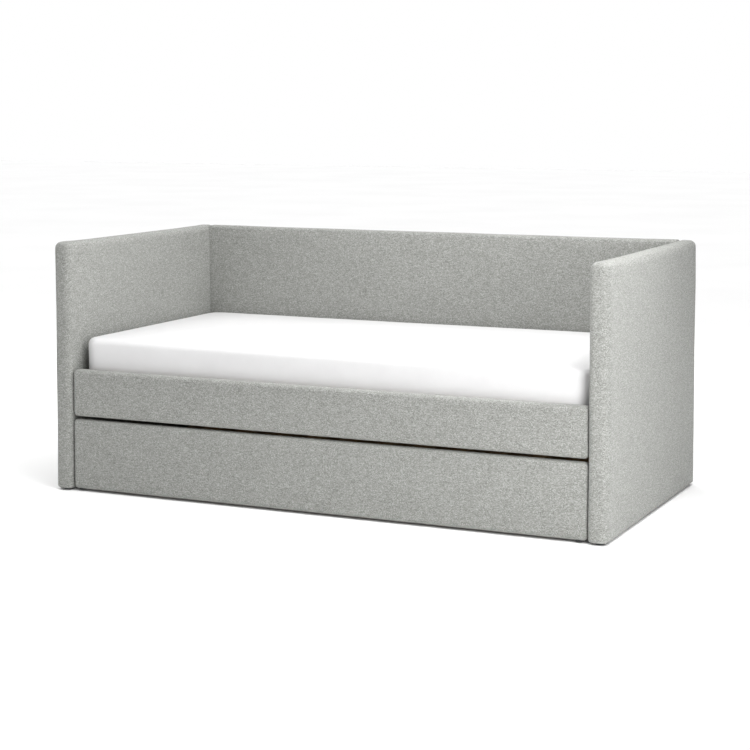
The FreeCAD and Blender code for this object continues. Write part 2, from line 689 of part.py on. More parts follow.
trundle_slats = []
trundle_slat_heads = []
trundle_slat_reach = f"({side_rail_outside} - trundle_slat_width / 2 - trundle_slat_inset)"
trundle_slat_front = f"({trundle_front_back} + trundle_slat_gap)"
for number in range(TRUNDLE_SLAT_COUNT):
    middle = f"({2 * number / (TRUNDLE_SLAT_COUNT - 1) - 1} * {trundle_slat_reach})"
    trundle_slats.append(block(
        f"trundle_slat_{number}",
        (f"({middle} - trundle_slat_width / 2)", trundle_slat_front, trundle_deck_bottom),
        ("trundle_slat_width", f"({trundle_back} - {trundle_slat_front})", "trundle_slat_thickness")))
    trundle_slat_heads.append((middle, f"({trundle_back} - back_rail_thickness / 2)",
                               f"({trundle_deck_bottom} + trundle_slat_thickness)"))
    if 0 < number < TRUNDLE_SLAT_COUNT - 1:
        trundle_slat_heads.append((middle, f"({trundle_front_back} + trundle_ledger_size / 2)",
                                   f"({trundle_deck_bottom} + trundle_slat_thickness)"))
trundle_slat_screws = screws("trundle_slat_screws_all", trundle_slat_heads, "-Z",
                             "(trundle_slat_thickness + screw_grip / 2)")

# Two low glides under the ends of the front keep it off a carpet; they clear a hard floor.
front_glides = []
for side_name, side in SIDES.items():
    front_glides.append(glide(
        f"front_glide_{side_name}",
        (f"({side} * ({panel_end} - front_glide_inset))", f"({trundle_front_back} - trundle_board_thickness / 2)",
         "(trundle_bottom - front_glide_height)"),
        "front_glide_radius", "front_glide_height", "front_nail_length"))
front_glide_pair = grouped("front_glide_pair", front_glides)
keep(front_glide_pair, "trundle_front_glides")
faced_board("trundle_front", "trundle_bottom", trundle_front_height, "trundle_front_thickness",
            "trundle_board_thickness",
            grouped("front_fasteners", [front_angle_screws, trundle_ledger_screws, front_glide_pair]),
            front_glide_pair)

for side_name, side in SIDES.items():
    rail_block = block(
        f"trundle_side_{side_name}_block",
        (mirrored_start(side, side_rail_inside, "side_rail_width"), trundle_front_back, caster_height),
        ("side_rail_width", f"({side_rail_end} - {trundle_front_back})", "side_rail_height"))
    tools = grouped(f"side_fasteners_{side_name}",
                    [side_angle_screws[side_name], beam_screws[side_name], back_rail_screws,
                     caster_screws[side_name]])
    keep(cut(f"trundle_side_{side_name}_cut", rail_block, tools), f"trundle_side_{side_name}")

back_rail = block("trundle_back_rail_block", (f"(-{side_rail_outside})", side_rail_end, caster_height),
                  (f"(2 * {side_rail_outside})", "back_rail_thickness", "side_rail_height"))
back_rail_tools = grouped("back_rail_fasteners", [back_rail_screws, trundle_slat_screws])
keep(cut("trundle_back_rail_cut", back_rail, back_rail_tools), "trundle_back_rail")
beam = block("trundle_beam_block", (f"(-{side_rail_inside})", beam_y, caster_height),
             (f"(2 * {side_rail_inside})", "beam_thickness", "side_rail_height"))
keep(cut("trundle_beam_cut", beam, grouped("beam_fasteners", list(beam_screws.values()))), "trundle_beam")
ledger = block("trundle_ledger_block", (f"(-{trundle_ledger_end})", trundle_front_back, trundle_ledger_bottom),
               (f"(2 * {trundle_ledger_end})", "trundle_ledger_size", "trundle_ledger_size"))
ledger_tools = grouped("trundle_ledger_fasteners", [trundle_ledger_screws, trundle_slat_screws])
keep(cut("trundle_ledger_cut", ledger, ledger_tools), "trundle_ledger")
trundle_slat_row = grouped("trundle_slat_row", trundle_slats)
keep(cut("trundle_slats_cut", trundle_slat_row, trundle_slat_screws), "trundle_slats")
keep(trundle_slat_screws, "trundle_slat_screws")

trundle_angles = []
for side_name, side in SIDES.items():
    trundle_angles.append(angle(f"trundle_angle_{side_name}", side, trundle_front_back, 1,
                                trundle_bracket_bottom, "trundle_bracket_height", side_rail_inside,
                                "trundle_bracket_leg", "trundle_bracket_leg"))
trundle_angle_tools = grouped("trundle_angle_fasteners", [front_angle_screws, *side_angle_screws.values()])
keep(cut("trundle_brackets_cut", grouped("trundle_angles", trundle_angles), trundle_angle_tools),
     "trundle_brackets")
keep(grouped("trundle_screws_group", [front_angle_screws, back_rail_screws, trundle_ledger_screws,
                                      *side_angle_screws.values(), *beam_screws.values()]), "trundle_screws")
keep(grouped("caster_screws_group", list(caster_screws.values())), "caster_screws")


# ---- Casters: a pressed steel fork, a riveted axle and a dished wheel ------------------------------------

fork_inside = "(wheel_width / 2 + fork_gap)"
cheek_bottom = "(wheel_radius - axle_head_radius - fork_thickness)"
forks = []
axles = []
for side_name, side in SIDES.items():
    for row_name, row_y in caster_rows.items():
        place_name = f"{row_name}_{side_name}"
        middle_x = f"({side} * {caster_x})"
        plate = block(f"caster_plate_{place_name}",
                      (f"({middle_x} - caster_plate_width / 2)", f"({row_y} - caster_plate_length / 2)",
                       f"({caster_height} - fork_thickness)"),
                      ("caster_plate_width", "caster_plate_length", "fork_thickness"))
        cheeks = []
        for cheek_name, start in (("inner", f"({middle_x} - {fork_inside} - fork_thickness)"),
                                  ("outer", f"({middle_x} + {fork_inside})")):
            cheeks.append(block(f"caster_cheek_{place_name}_{cheek_name}",
                                (start, f"({row_y} - fork_depth / 2)", cheek_bottom),
                                ("fork_thickness", "fork_depth",
                                 f"({caster_height} - fork_thickness - {cheek_bottom})")))
        axle_half = f"({fork_inside} + fork_thickness)"
        pin = rod(f"axle_pin_{place_name}", (f"({middle_x} - {axle_half})", row_y, "wheel_radius"),
                  "axle_radius", f"(2 * {axle_half})", "+X")
        low_head = rod(f"axle_low_head_{place_name}", (f"({middle_x} - {axle_half})", row_y, "wheel_radius"),
                       "axle_head_radius", "axle_head_height", "-X")
        high_head = rod(f"axle_high_head_{place_name}", (f"({middle_x} + {axle_half})", row_y, "wheel_radius"),
                        "axle_head_radius", "axle_head_height", "+X")
        axle = joined(f"axle_{place_name}", [pin, low_head, high_head])
        axles.append(axle)
        forks.append(cut(f"fork_{place_name}", joined(f"fork_blank_{place_name}", [plate, *cheeks]), axle))

        tread = rod(f"tread_{place_name}", (f"({middle_x} - wheel_width / 2)", row_y, "wheel_radius"),
                    "wheel_radius", "wheel_width", "+X")
        doc.recompute()
        soft = doc.addObject("Part::Fillet", f"tread_rounded_{place_name}")
        soft.Base = tread
        rims = [number for number, edge in enumerate(tread.Shape.Edges, start=1) if edge.Closed]
        soft.Edges = [(number, SIZES["wheel_edge_radius"], SIZES["wheel_edge_radius"]) for number in rims]
        bore_start = (f"({middle_x} - wheel_width / 2 - {CUT_MARGIN})", row_y, "wheel_radius")
        bore = rod(f"bore_{place_name}", bore_start, "(axle_radius + axle_clearance)",
                   f"(wheel_width + {2 * CUT_MARGIN})", "+X")
        hollows = [bore]
        for face_name, start, direction in (("low", f"({middle_x} - wheel_width / 2)", "+X"),
                                            ("high", f"({middle_x} + wheel_width / 2)", "-X")):
            dish = rod(f"dish_{place_name}_{face_name}", (start, row_y, "wheel_radius"),
                       "(wheel_radius - wheel_rim_thickness)", "wheel_dish_depth", direction)
            hub = rod(f"hub_{place_name}_{face_name}", (start, row_y, "wheel_radius"),
                      "wheel_hub_radius", "wheel_dish_depth", direction)
            hollows.append(cut(f"dish_ring_{place_name}_{face_name}", dish, hub))
        keep(cut(f"wheel_cut_{place_name}", soft, grouped(f"wheel_hollows_{place_name}", hollows)),
             f"caster_wheel_{place_name}")
fork_tools = grouped("fork_fasteners", list(caster_screws.values()))
keep(cut("caster_forks_cut", grouped("fork_group", forks), fork_tools), "caster_forks")
keep(grouped("caster_axles_group", axles), "caster_axles")


# ---- Check every feature, then write one file for each piece -------------------------------------------

doc.recompute()
for item in doc.Objects:
    if "Invalid" in item.State or "Error" in item.State:
        raise RuntimeError(f"{item.Name} failed: {item.State}")
for item in nodes:
    if item.Shape.isNull() or not item.Shape.isValid() or not item.Shape.Solids:
        raise RuntimeError(f"{item.Label} has no valid solid")

os.makedirs("parts", exist_ok=True)
for item in nodes:
    item.Shape.exportStep(f"parts/{item.Label}.step")
print(f"{len(nodes)} pieces, {sum(len(item.Shape.Solids) for item in nodes)} solids")
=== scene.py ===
import math

import bmesh
import bpy
import numpy as np
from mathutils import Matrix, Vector, noise


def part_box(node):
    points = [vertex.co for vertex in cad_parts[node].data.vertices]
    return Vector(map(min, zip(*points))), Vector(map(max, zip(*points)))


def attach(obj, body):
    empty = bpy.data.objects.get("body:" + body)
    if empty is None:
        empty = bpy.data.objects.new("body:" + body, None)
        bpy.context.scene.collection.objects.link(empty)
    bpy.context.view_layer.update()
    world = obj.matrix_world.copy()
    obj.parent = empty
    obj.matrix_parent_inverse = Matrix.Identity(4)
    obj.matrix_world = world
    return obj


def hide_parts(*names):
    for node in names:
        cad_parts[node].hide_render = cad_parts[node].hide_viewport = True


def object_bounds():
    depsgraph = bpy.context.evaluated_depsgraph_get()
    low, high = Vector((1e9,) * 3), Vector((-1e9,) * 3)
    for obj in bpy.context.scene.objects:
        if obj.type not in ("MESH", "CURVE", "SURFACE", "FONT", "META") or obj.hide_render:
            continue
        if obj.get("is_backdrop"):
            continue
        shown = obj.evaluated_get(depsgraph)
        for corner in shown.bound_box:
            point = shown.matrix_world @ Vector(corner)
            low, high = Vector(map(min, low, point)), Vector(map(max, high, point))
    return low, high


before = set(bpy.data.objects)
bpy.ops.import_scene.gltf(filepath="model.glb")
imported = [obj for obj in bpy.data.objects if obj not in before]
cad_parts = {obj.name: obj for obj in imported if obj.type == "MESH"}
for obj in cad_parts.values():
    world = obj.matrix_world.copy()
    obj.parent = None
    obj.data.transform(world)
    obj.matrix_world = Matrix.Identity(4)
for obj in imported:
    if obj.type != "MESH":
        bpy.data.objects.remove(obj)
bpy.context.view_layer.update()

# An upholstered daybed with a trundle that rolls out from under it.
# X runs along the bed, the front faces -Y, Z is up.  Sizes are in metres.


# ---- Arm and back frames ---------------------------------------------------------------------------------
# Sawn softwood members, glued and screwed into a flat frame, with paper honeycomb board in its opening.
# They are hidden inside the covers and carry everything that is bolted to the bed.

TIMBER_PALE = (0.60, 0.42, 0.25, 1)
TIMBER_DARK = (0.36, 0.22, 0.11, 1)
HONEYCOMB_PALE = (0.50, 0.38, 0.25, 1)
HONEYCOMB_DARK = (0.26, 0.18, 0.11, 1)
HONEYCOMB_CELL = 0.012


def add_node(tree, kind, inputs=None, **settings):
    """One node, with its settings made and each input set, or joined to another node's output."""
    made = tree.nodes.new(kind)
    for name, value in settings.items():
        setattr(made, name, value)
    for name, value in (inputs or {}).items():
        if isinstance(value, bpy.types.NodeSocket):
            tree.links.new(value, made.inputs[name])
        else:
            made.inputs[name].default_value = value
    return made


def first_out(tree, kind, inputs=None, **settings):
    """What one node gives out first."""
    return add_node(tree, kind, inputs, **settings).outputs[0]


def calc(tree, operation, *values):
    """One sum on numbers that vary over the surface."""
    return first_out(tree, "ShaderNodeMath", dict(enumerate(values)), operation=operation)


def blend(tree, *parts):
    """The sum of some patterns, each with its weight."""
    total = 0
    for pattern, weight in parts:
        total = calc(tree, "MULTIPLY_ADD", pattern, weight, total)
    return total


def colour_steps(tree, value, steps):
    """A colour for each value, from steps of (value, colour)."""
    made = add_node(tree, "ShaderNodeValToRGB", {"Fac": value})
    marks = made.color_ramp.elements
    while len(marks) < len(steps):
        marks.new(0.5)
    for mark, (position, colour) in zip(marks, steps):
        mark.position = position
        mark.color = colour
    return made.outputs["Color"]


def object_place(tree, stretch=(1, 1, 1)):
    """The point on the piece in metres, stretched along each axis."""
    point = add_node(tree, "ShaderNodeTexCoord").outputs["Object"]
    return first_out(tree, "ShaderNodeMapping", {"Vector": point, "Scale": stretch})


def cloudy(tree, place, scale, detail=2, roughness=0.5):
    """Soft random variation from 0 to 1."""
    inputs = {"Vector": place, "Scale": scale, "Detail": detail, "Roughness": roughness}
    return first_out(tree, "ShaderNodeTexNoise", inputs)


def new_finish(name, constants):
    """A material with its shader, and on it what is the same all over the surface."""
    finish = bpy.data.materials.new(name)
    finish.use_nodes = True
    shader = finish.node_tree.nodes["Principled BSDF"]
    for socket, value in constants.items():
        shader.inputs[socket].default_value = value
    return finish, finish.node_tree, shader


def dress(tree, shader, colours, gloss, relief=None):
    """Joins up a finish: its colours, its roughness and its relief.

    Roughness is a pattern, its spread and its least value; relief is a pattern, its metres and its strength.
    """
    tree.links.new(colours, shader.inputs["Base Color"])
    tree.links.new(calc(tree, "MULTIPLY_ADD", *gloss), shader.inputs["Roughness"])
    if relief:
        height, distance, strength = relief
        inputs = {"Height": height, "Distance": distance, "Strength": strength}
        bump = first_out(tree, "ShaderNodeBump", inputs)
        tree.links.new(bump, shader.inputs["Normal"])


def wood_finish(name, pale, dark, grain_stretch, roughness):
    """Growth rings drawn out along the grain, with fine pores and a little relief."""
    finish, tree, shader = new_finish(name, {"Specular IOR Level": 0.3})
    place = object_place(tree, grain_stretch)
    rings = first_out(tree, "ShaderNodeTexNoise", {
        "Vector": place, "Scale": 9, "Detail": 3, "Roughness": 0.55, "Distortion": 1.2})
    bands = calc(tree, "PINGPONG", calc(tree, "MULTIPLY", rings, 9), 1)
    pores = cloudy(tree, object_place(tree, tuple(3 * part for part in grain_stretch)), 60, 4, 0.6)
    boards = cloudy(tree, object_place(tree), 2.3, 1)
    tone = blend(tree, (pores, 0.35), (bands, 0.45), (boards, 0.35))
    dress(tree, shader, colour_steps(tree, tone, [(0.25, dark), (0.75, pale)]),
          (pores, 0.2, roughness - 0.1), (tone, 0.0004, 0.6))
    return finish


def honeycomb_finish():
    """Brown paper board with its cells showing faintly through the facing."""
    finish, tree, shader = new_finish("honeycomb_board", {"Specular IOR Level": 0.2})
    place = object_place(tree)
    inputs = {"Vector": place, "Scale": 1 / HONEYCOMB_CELL, "Randomness": 0.15}
    cells = first_out(tree, "ShaderNodeTexVoronoi", inputs, feature="DISTANCE_TO_EDGE")
    fibres = cloudy(tree, place, 240, 4, 0.7)
    tone = blend(tree, (fibres, 0.7), (cells, 0.6))
    colours = colour_steps(tree, tone, [(0.2, HONEYCOMB_DARK), (0.8, HONEYCOMB_PALE)])
    dress(tree, shader, colours, (fibres, 0.15, 0.75), (tone, 0.0005, 0.5))
    return finish


def finish_parts(names, finish):
    """Gives carried-over parts their finish."""
    for name in names:
        for place in cad_parts[name].material_slots:
            place.material = finish


finish_parts(["arm_frame_left", "arm_frame_right"],
             wood_finish("frame_timber_upright", TIMBER_PALE, TIMBER_DARK, (10, 10, 1), 0.75))
finish_parts(["back_frame"],
             wood_finish("frame_timber_long", TIMBER_PALE, TIMBER_DARK, (1, 10, 10), 0.75))
finish_parts(["arm_infill_left", "arm_infill_right", "back_infill"], honeycomb_finish())


# ---- Arm covers ------------------------------------------------------------------------------------------
# Heathered grey tweed pulled tight over 16 mm of foam on each arm frame and stapled under its foot.
# The foam gives at the corners, so every face is a shade fuller in the middle than at its edges.

THREAD_PITCH = 0.0018
THREAD_HEIGHT = 0.0006
THREAD_WANDER = (0.0008, 0.0008, 0)
YARN_STEP = 3.71
YARN_DRIFT = 0.11
# TWEED_DARK is a yarn tone and also the painted shade laid into the weave's hollows.
TWEED_DARK = (0.162, 0.164, 0.153, 1)
TWEED_MIDDLE = (0.256, 0.260, 0.245, 1)
TWEED_PALE = (0.400, 0.405, 0.387, 1)
CLOTH_SHIFT = 0.37
GRID_SPACING = 0.014
ARC_STEPS = 4
ARM_EDGE_RADIUS = 0.025
ARM_FOOT_RADIUS = 0.010
UNDERTURN = 0.0034
OUTER_SLACK = 0.006
INNER_SLACK = 0.002
END_SLACK = 0.004
TOP_SLACK = 0.003
OUTER_PROUD = 0.004
INNER_PROUD = 0.0015
END_PROUD = 0.001
TOP_PROUD = 0.006
CROWN_REACH = 0.22
COVER_WAVE = 0.0007
ARM_WAVELENGTH = 0.16
CROWN_SHARE = 0.42
HELD_BELOW = 0.03
FOAM_PRESSURE = 4.0
COVER_MASS = 0.3
COVER_STIFFNESS = 2
SWELL_FRAMES = 20
LEAST_LENGTH = 1e-9


def rounded(tree, place):
    """How high each thread stands across its width, for threads one apart."""
    return calc(tree, "ABSOLUTE", calc(tree, "SINE", calc(tree, "MULTIPLY", place, math.pi)))


def tweed_finish():
    """A plain weave of uneven two-tone yarns: every thread has its own shade and thickens here and there."""
    finish, tree, shader = new_finish("tweed", {
        "Specular IOR Level": 0.2, "Sheen Weight": 0.18, "Sheen Roughness": 0.45,
        "Sheen Tint": (0.92, 0.93, 0.90, 1)})
    cloth = first_out(tree, "ShaderNodeUVMap", uv_map="cloth")
    wander = add_node(tree, "ShaderNodeTexNoise", {"Vector": cloth, "Scale": 45, "Detail": 2})
    pulled = add_node(tree, "ShaderNodeVectorMath", {
        0: wander.outputs["Color"], 1: THREAD_WANDER, 2: cloth}, operation="MULTIPLY_ADD")
    split = add_node(tree, "ShaderNodeSeparateXYZ", {"Vector": pulled.outputs[0]})
    across = calc(tree, "DIVIDE", split.outputs["X"], THREAD_PITCH)
    along = calc(tree, "DIVIDE", split.outputs["Y"], THREAD_PITCH)
    warp_number = calc(tree, "FLOOR", across)
    weft_number = calc(tree, "FLOOR", along)
    warp_round = rounded(tree, across)
    weft_round = rounded(tree, along)
    crossing = calc(tree, "ADD", warp_number, weft_number)
    warp_on_top = calc(tree, "PINGPONG", crossing, 1)

    def yarn(number, distance, seed):
        """The shade of a yarn along its length."""
        spot = add_node(tree, "ShaderNodeCombineXYZ", {
            "X": calc(tree, "MULTIPLY", number, YARN_STEP), "Z": seed,
            "Y": calc(tree, "MULTIPLY", distance, YARN_DRIFT)})
        return cloudy(tree, spot.outputs[0], 1, 3, 0.6)

    warp_shade = yarn(warp_number, along, 2.5)
    weft_shade = yarn(weft_number, across, 8.5)
    yarn_shade = first_out(tree, "ShaderNodeMix", {0: warp_on_top, 2: weft_shade, 3: warp_shade})

    def flecks(first, second, seed):
        """One random shade for each short length of yarn."""
        spot = add_node(tree, "ShaderNodeCombineXYZ", {"X": first, "Y": second, "Z": seed})
        return add_node(tree, "ShaderNodeTexWhiteNoise", {"Vector": spot.outputs[0]},
                        noise_dimensions="3D").outputs["Value"]

    weft_flecks = flecks(calc(tree, "FLOOR", calc(tree, "MULTIPLY", across, 0.5)), weft_number, 1.5)
    warp_flecks = flecks(warp_number, calc(tree, "FLOOR", calc(tree, "MULTIPLY", along, 0.8)), 4.5)
    speckle = blend(tree, (warp_flecks, 0.42), (weft_flecks, 0.58))
    heather = cloudy(tree, pulled.outputs[0], 420, 2, 0.6)
    broad = cloudy(tree, cloth, 9, 2, 0.5)
    top_round = first_out(tree, "ShaderNodeMix", {0: warp_on_top, 2: weft_round, 3: warp_round})
    hollow = calc(tree, "MULTIPLY", warp_round, weft_round)
    height = blend(tree, (hollow, 0.4), (top_round, 0.6))

    tone = blend(tree, (yarn_shade, 0.20), (weft_shade, 0.26), (speckle, 0.42),
                 (heather, 0.08), (broad, 0.04))
    colours = colour_steps(tree, tone, [(0.33, TWEED_DARK), (0.50, TWEED_MIDDLE), (0.68, TWEED_PALE)])
    # Painted shade: where the weave is low, between the threads, the colour is mixed up to a quarter of the
    # way towards TWEED_DARK.
    shaded = add_node(tree, "ShaderNodeMix", {
        0: calc(tree, "MULTIPLY_ADD", height, -0.30, 0.24), 6: colours, 7: TWEED_DARK}, data_type="RGBA")
    relief = calc(tree, "MULTIPLY_ADD", heather, 0.25, height)
    dress(tree, shader, shaded.outputs[2], (heather, 0.14, 0.82), (relief, THREAD_HEIGHT, 0.4))
    return finish


def grid_stops(low, high, low_radius, high_radius, marks=()):
    """Where grid lines cross one axis and how far each lies along the cloth, closer together at an edge."""
    places = []
    lengths = []
    for step in range(ARC_STEPS, 0, -1):
        turn = math.pi / 4 * step / ARC_STEPS
        places.append(low + low_radius - low_radius * math.tan(turn))
        lengths.append(low + low_radius - low_radius * turn)
    flat_marks = [low + low_radius, *marks, high - high_radius]
    for start, end in zip(flat_marks, flat_marks[1:]):
        count = max(1, round((end - start) / GRID_SPACING))
        for step in range(count):
            places.append(start + (end - start) * step / count)
            lengths.append(places[-1])
    for step in range(ARC_STEPS + 1):
        turn = math.pi / 4 * step / ARC_STEPS
        places.append(high - high_radius + high_radius * math.tan(turn))
        lengths.append(high - high_radius + high_radius * turn)
    return places, lengths


def new_piece(name, mesh, *finishes):
    """Puts a mesh in the scene as a piece, in its finish."""
    for finish in finishes:
        mesh.materials.append(finish)
    piece = bpy.data.objects.new(name, mesh)
    bpy.context.scene.collection.objects.link(piece)
    return piece


def panel_form(name, low, high, low_radii, high_radii, finish, marks=((), (), ())):
    """A closed pad with rounded edges, as an even grid, with the cloth's own map in metres."""
    stops = [grid_stops(low[axis], high[axis], low_radii[axis], high_radii[axis], marks[axis])
             for axis in range(3)]
    numbers = {}
    corners = []

    def corner(index):
        if index not in numbers:
            numbers[index] = len(corners)
            corners.append([stops[axis][0][index[axis]] for axis in range(3)])
        return numbers[index]

    faces = []
    cloth_places = []
    for axis in range(3):
        across, up = [other for other in range(3) if other != axis]
        for side in (0, 1):
            layer = side * (len(stops[axis][0]) - 1)
            forward = (side == 1) != (axis == 1)
            for first in range(len(stops[across][0]) - 1):
                for second in range(len(stops[up][0]) - 1):
                    ring = [(first, second), (first + 1, second),
                            (first + 1, second + 1), (first, second + 1)]
                    if not forward:
                        ring.reverse()
                    face = []
                    for ring_first, ring_second in ring:
                        index = [0, 0, 0]
                        index[axis] = layer
                        index[across] = ring_first
                        index[up] = ring_second
                        face.append(corner(tuple(index)))
                        shift = CLOTH_SHIFT * (2 * axis + side)
                        cloth_places += [stops[across][1][ring_first] + shift, stops[up][1][ring_second]]
                    faces.append(face)

    points = np.array(corners)
    low_radii = np.array(low_radii)
    high_radii = np.array(high_radii)
    core = np.clip(points, np.array(low) + low_radii, np.array(high) - high_radii)
    out = points - core
    reach = np.where(out < 0, low_radii, high_radii)
    points = core + out / np.linalg.norm(out / reach, axis=1)[:, None]

    mesh = bpy.data.meshes.new(name)
    mesh.from_pydata(points.tolist(), [], faces)
    mesh.uv_layers.new(name="cloth").data.foreach_set("uv", cloth_places)
    mesh.shade_smooth()
    return new_piece(name, mesh, finish)


def points_of(mesh):
    """A mesh's points as rows of three numbers."""
    points = np.empty(len(mesh.vertices) * 3, np.float32)
    mesh.vertices.foreach_get("co", points)
    return points.reshape(-1, 3).astype(float)


def set_points(mesh, points):
    """Moves a mesh's points."""
    mesh.vertices.foreach_set("co", points.astype(np.float32).ravel())
    mesh.update()


def room_to_swell(piece, low, high, low_slack, high_slack, reach):
    """How far the foam may press each point out: nothing at a corner, a face's own slack in its middle."""
    points = points_of(piece.data)
    low = np.array(low)
    high = np.array(high)
    size = high - low
    to_low = points - low
    to_high = high - points
    edge = np.minimum(to_low, to_high)
    own = np.argmin(edge / size, axis=1)
    rows = np.arange(len(points))
    nearer_high = to_high[rows, own] < to_low[rows, own]
    slack = np.where(nearer_high, np.array(high_slack)[own], np.array(low_slack)[own])
    shares = np.clip(edge / np.minimum(reach, CROWN_SHARE * size), 0, 1)
    shares = shares * shares * (3 - 2 * shares)
    first = shares[rows, (own + 1) % 3]
    second = shares[rows, (own + 2) % 3]
    return slack * 0.5 * (first * second + np.maximum(first, second))


def press_out(piece, room):
    """The foam presses the cover out as far as each point has room; the corners are held."""
    rest = points_of(piece.data)
    held = piece.vertex_groups.new(name="held")
    for number in np.flatnonzero(room < HELD_BELOW * room.max()):
        held.add([int(number)], 1.0, "REPLACE")
    foam = piece.modifiers.new("foam", "CLOTH")
    foam.settings.quality = 4
    foam.settings.mass = COVER_MASS
    foam.settings.bending_stiffness = COVER_STIFFNESS
    foam.settings.use_pressure = True
    foam.settings.uniform_pressure_force = FOAM_PRESSURE
    foam.settings.effector_weights.gravity = 0
    foam.settings.vertex_group_mass = "held"
    foam.point_cache.frame_start = 1
    foam.point_cache.frame_end = SWELL_FRAMES
    for number in range(1, SWELL_FRAMES + 1):
        bpy.context.scene.frame_set(number)
    swollen = piece.evaluated_get(bpy.context.evaluated_depsgraph_get())
    shift = points_of(swollen.data) - rest
    piece.modifiers.remove(foam)
    piece.vertex_groups.remove(held)
    bpy.context.scene.frame_set(1)
    length = np.maximum(np.linalg.norm(shift, axis=1), LEAST_LENGTH)
    limit = np.maximum(room, LEAST_LENGTH)
    shift *= (limit * np.tanh(length / limit) / length)[:, None]
    set_points(piece.data, rest + shift)


def finer(piece):
    """Applies one level of subdivision."""
    smooth = piece.modifiers.new("smooth", "SUBSURF")
    smooth.levels = 1
    smooth.render_levels = 1
    depsgraph = bpy.context.evaluated_depsgraph_get()
    mesh = bpy.data.meshes.new_from_object(piece.evaluated_get(depsgraph))
    piece.modifiers.remove(smooth)
    old = piece.data
    piece.data = mesh
    mesh.name = piece.name
    bpy.data.meshes.remove(old)


def ripple(piece, height, wavelength):
    """The slight waviness of hand-cut foam."""
    points = points_of(piece.data)
    normals = np.array([v.normal for v in piece.data.vertices])
    waves = np.array([noise.noise(Vector(point) / wavelength) for point in points])
    set_points(piece.data, points + normals * (waves * height)[:, None])


def pad_out(piece, room, wave_height, wavelength):
    """Presses a cover out as far as it has room, then smooths it and makes it a little wavy."""
    press_out(piece, room)
    finer(piece)
    ripple(piece, wave_height, wavelength)


tweed = tweed_finish()
outer_face = (OUTER_SLACK, OUTER_PROUD)
inner_face = (INNER_SLACK, INNER_PROUD)
for side_name, left_face, right_face in (("left", outer_face, inner_face), ("right", inner_face, outer_face)):
    node = f"arm_padding_{side_name}"
    arm_low, arm_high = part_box(node)
    low_slack = Vector((left_face[0], END_SLACK, 0))
    high_slack = Vector((right_face[0], END_SLACK, TOP_SLACK))
    form_low = arm_low + low_slack - Vector((left_face[1], END_PROUD, UNDERTURN))
    form_high = arm_high - high_slack + Vector((right_face[1], END_PROUD, TOP_PROUD))
    cover = panel_form(f"arm_cover_{side_name}", form_low, form_high,
                       (ARM_EDGE_RADIUS, ARM_EDGE_RADIUS, ARM_FOOT_RADIUS), (ARM_EDGE_RADIUS,) * 3, tweed)
    room = room_to_swell(cover, form_low, form_high, low_slack, high_slack, CROWN_REACH)
    pad_out(cover, room, COVER_WAVE, ARM_WAVELENGTH)
    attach(cover, "daybed")
    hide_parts(node)


# ---- Back cover ------------------------------------------------------------------------------------------
# The same tweed over 14 mm of foam on both faces of the back frame.  Its ends are pressed against the arms.

BACK_EDGE_RADIUS = 0.012
BACK_END_RADIUS = 0.005
BACK_SLACK = 0.0035
BACK_TOP_SLACK = 0.002
BACK_TOP_PROUD = 0.006
BACK_END_SQUEEZE = 0.005
BACK_WAVELENGTH = 0.18

back_low, back_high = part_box("back_padding")
low_slack = Vector((0, BACK_SLACK, 0))
high_slack = Vector((0, BACK_SLACK, BACK_TOP_SLACK))
squeeze = Vector((BACK_END_SQUEEZE, 0, 0))
form_low = back_low + low_slack - squeeze - Vector((0, 0, UNDERTURN))
form_high = back_high - high_slack + squeeze + Vector((0, 0, BACK_TOP_PROUD))
back_radii = (BACK_END_RADIUS, BACK_EDGE_RADIUS, BACK_EDGE_RADIUS)
back_cover = panel_form("back_cover", form_low, form_high, back_radii, back_radii, tweed)
room = room_to_swell(back_cover, form_low, form_high, low_slack, high_slack, CROWN_REACH)
pad_out(back_cover, room, COVER_WAVE, BACK_WAVELENGTH)
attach(back_cover, "daybed")
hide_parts("back_padding")


# ---- Dust covers and their staples -----------------------------------------------------------------------
# Black non-woven cloth stretched under each frame and stapled along both edges of the timber.

DUST_BLACK = (0.012, 0.012, 0.013, 1)
DUST_PALE = (0.035, 0.035, 0.037, 1)
DUST_SPACING = 0.010
DUST_SAG = 0.0004
DUST_WAVES = 22
DUST_DROP = 0.0018
STAPLE_WIDTH = 0.010
STAPLE_WIRE = 0.0009
STAPLE_PITCH = 0.045
STAPLE_INSET = 0.005
STAPLE_STEEL = (0.62, 0.63, 0.64, 1)
STAPLE_SEED = 7


def dust_cloth_finish():
    """Pressed fibres with a fine dimpled pattern."""
    finish, tree, shader = new_finish("dust_cloth", {"Specular IOR Level": 0.2})
    place = object_place(tree)
    inputs = {"Vector": place, "Scale": 900, "Randomness": 0.4}
    dimples = first_out(tree, "ShaderNodeTexVoronoi", inputs)
    fibres = cloudy(tree, place, 500, 4, 0.7)
    tone = blend(tree, (fibres, 0.6), (dimples, 0.5))
    dress(tree, shader, colour_steps(tree, tone, [(0.2, DUST_BLACK), (0.8, DUST_PALE)]),
          (fibres, 0.2, 0.75), (tone, 0.0003, 0.6))
    return finish


def bright_steel_finish(name, colour, roughness, scratch_stretch=(1, 1, 1)):
    """Plated steel with a faint drawn or brushed grain."""
    finish, tree, shader = new_finish(name, {"Metallic": 1.0})
    grain = cloudy(tree, object_place(tree, scratch_stretch), 420, 3, 0.6)
    bloom = cloudy(tree, object_place(tree), 70, 3, 0.5)
    dull = tuple(0.72 * part for part in colour[:3]) + (1,)
    tone = blend(tree, (bloom, 0.5), (grain, 0.5))
    dress(tree, shader, colour_steps(tree, tone, [(0.3, dull), (0.65, colour)]),
          (bloom, 0.25, roughness - 0.12), (grain, 0.00008, 0.5))
    return finish


def close_shape(name, shape, finish):
    """Makes a piece of a worked shape, with its faces outward."""
    bmesh.ops.recalc_face_normals(shape, faces=shape.faces)
    mesh = bpy.data.meshes.new(name)
    shape.to_mesh(mesh)
    shape.free()
    return new_piece(name, mesh, finish)


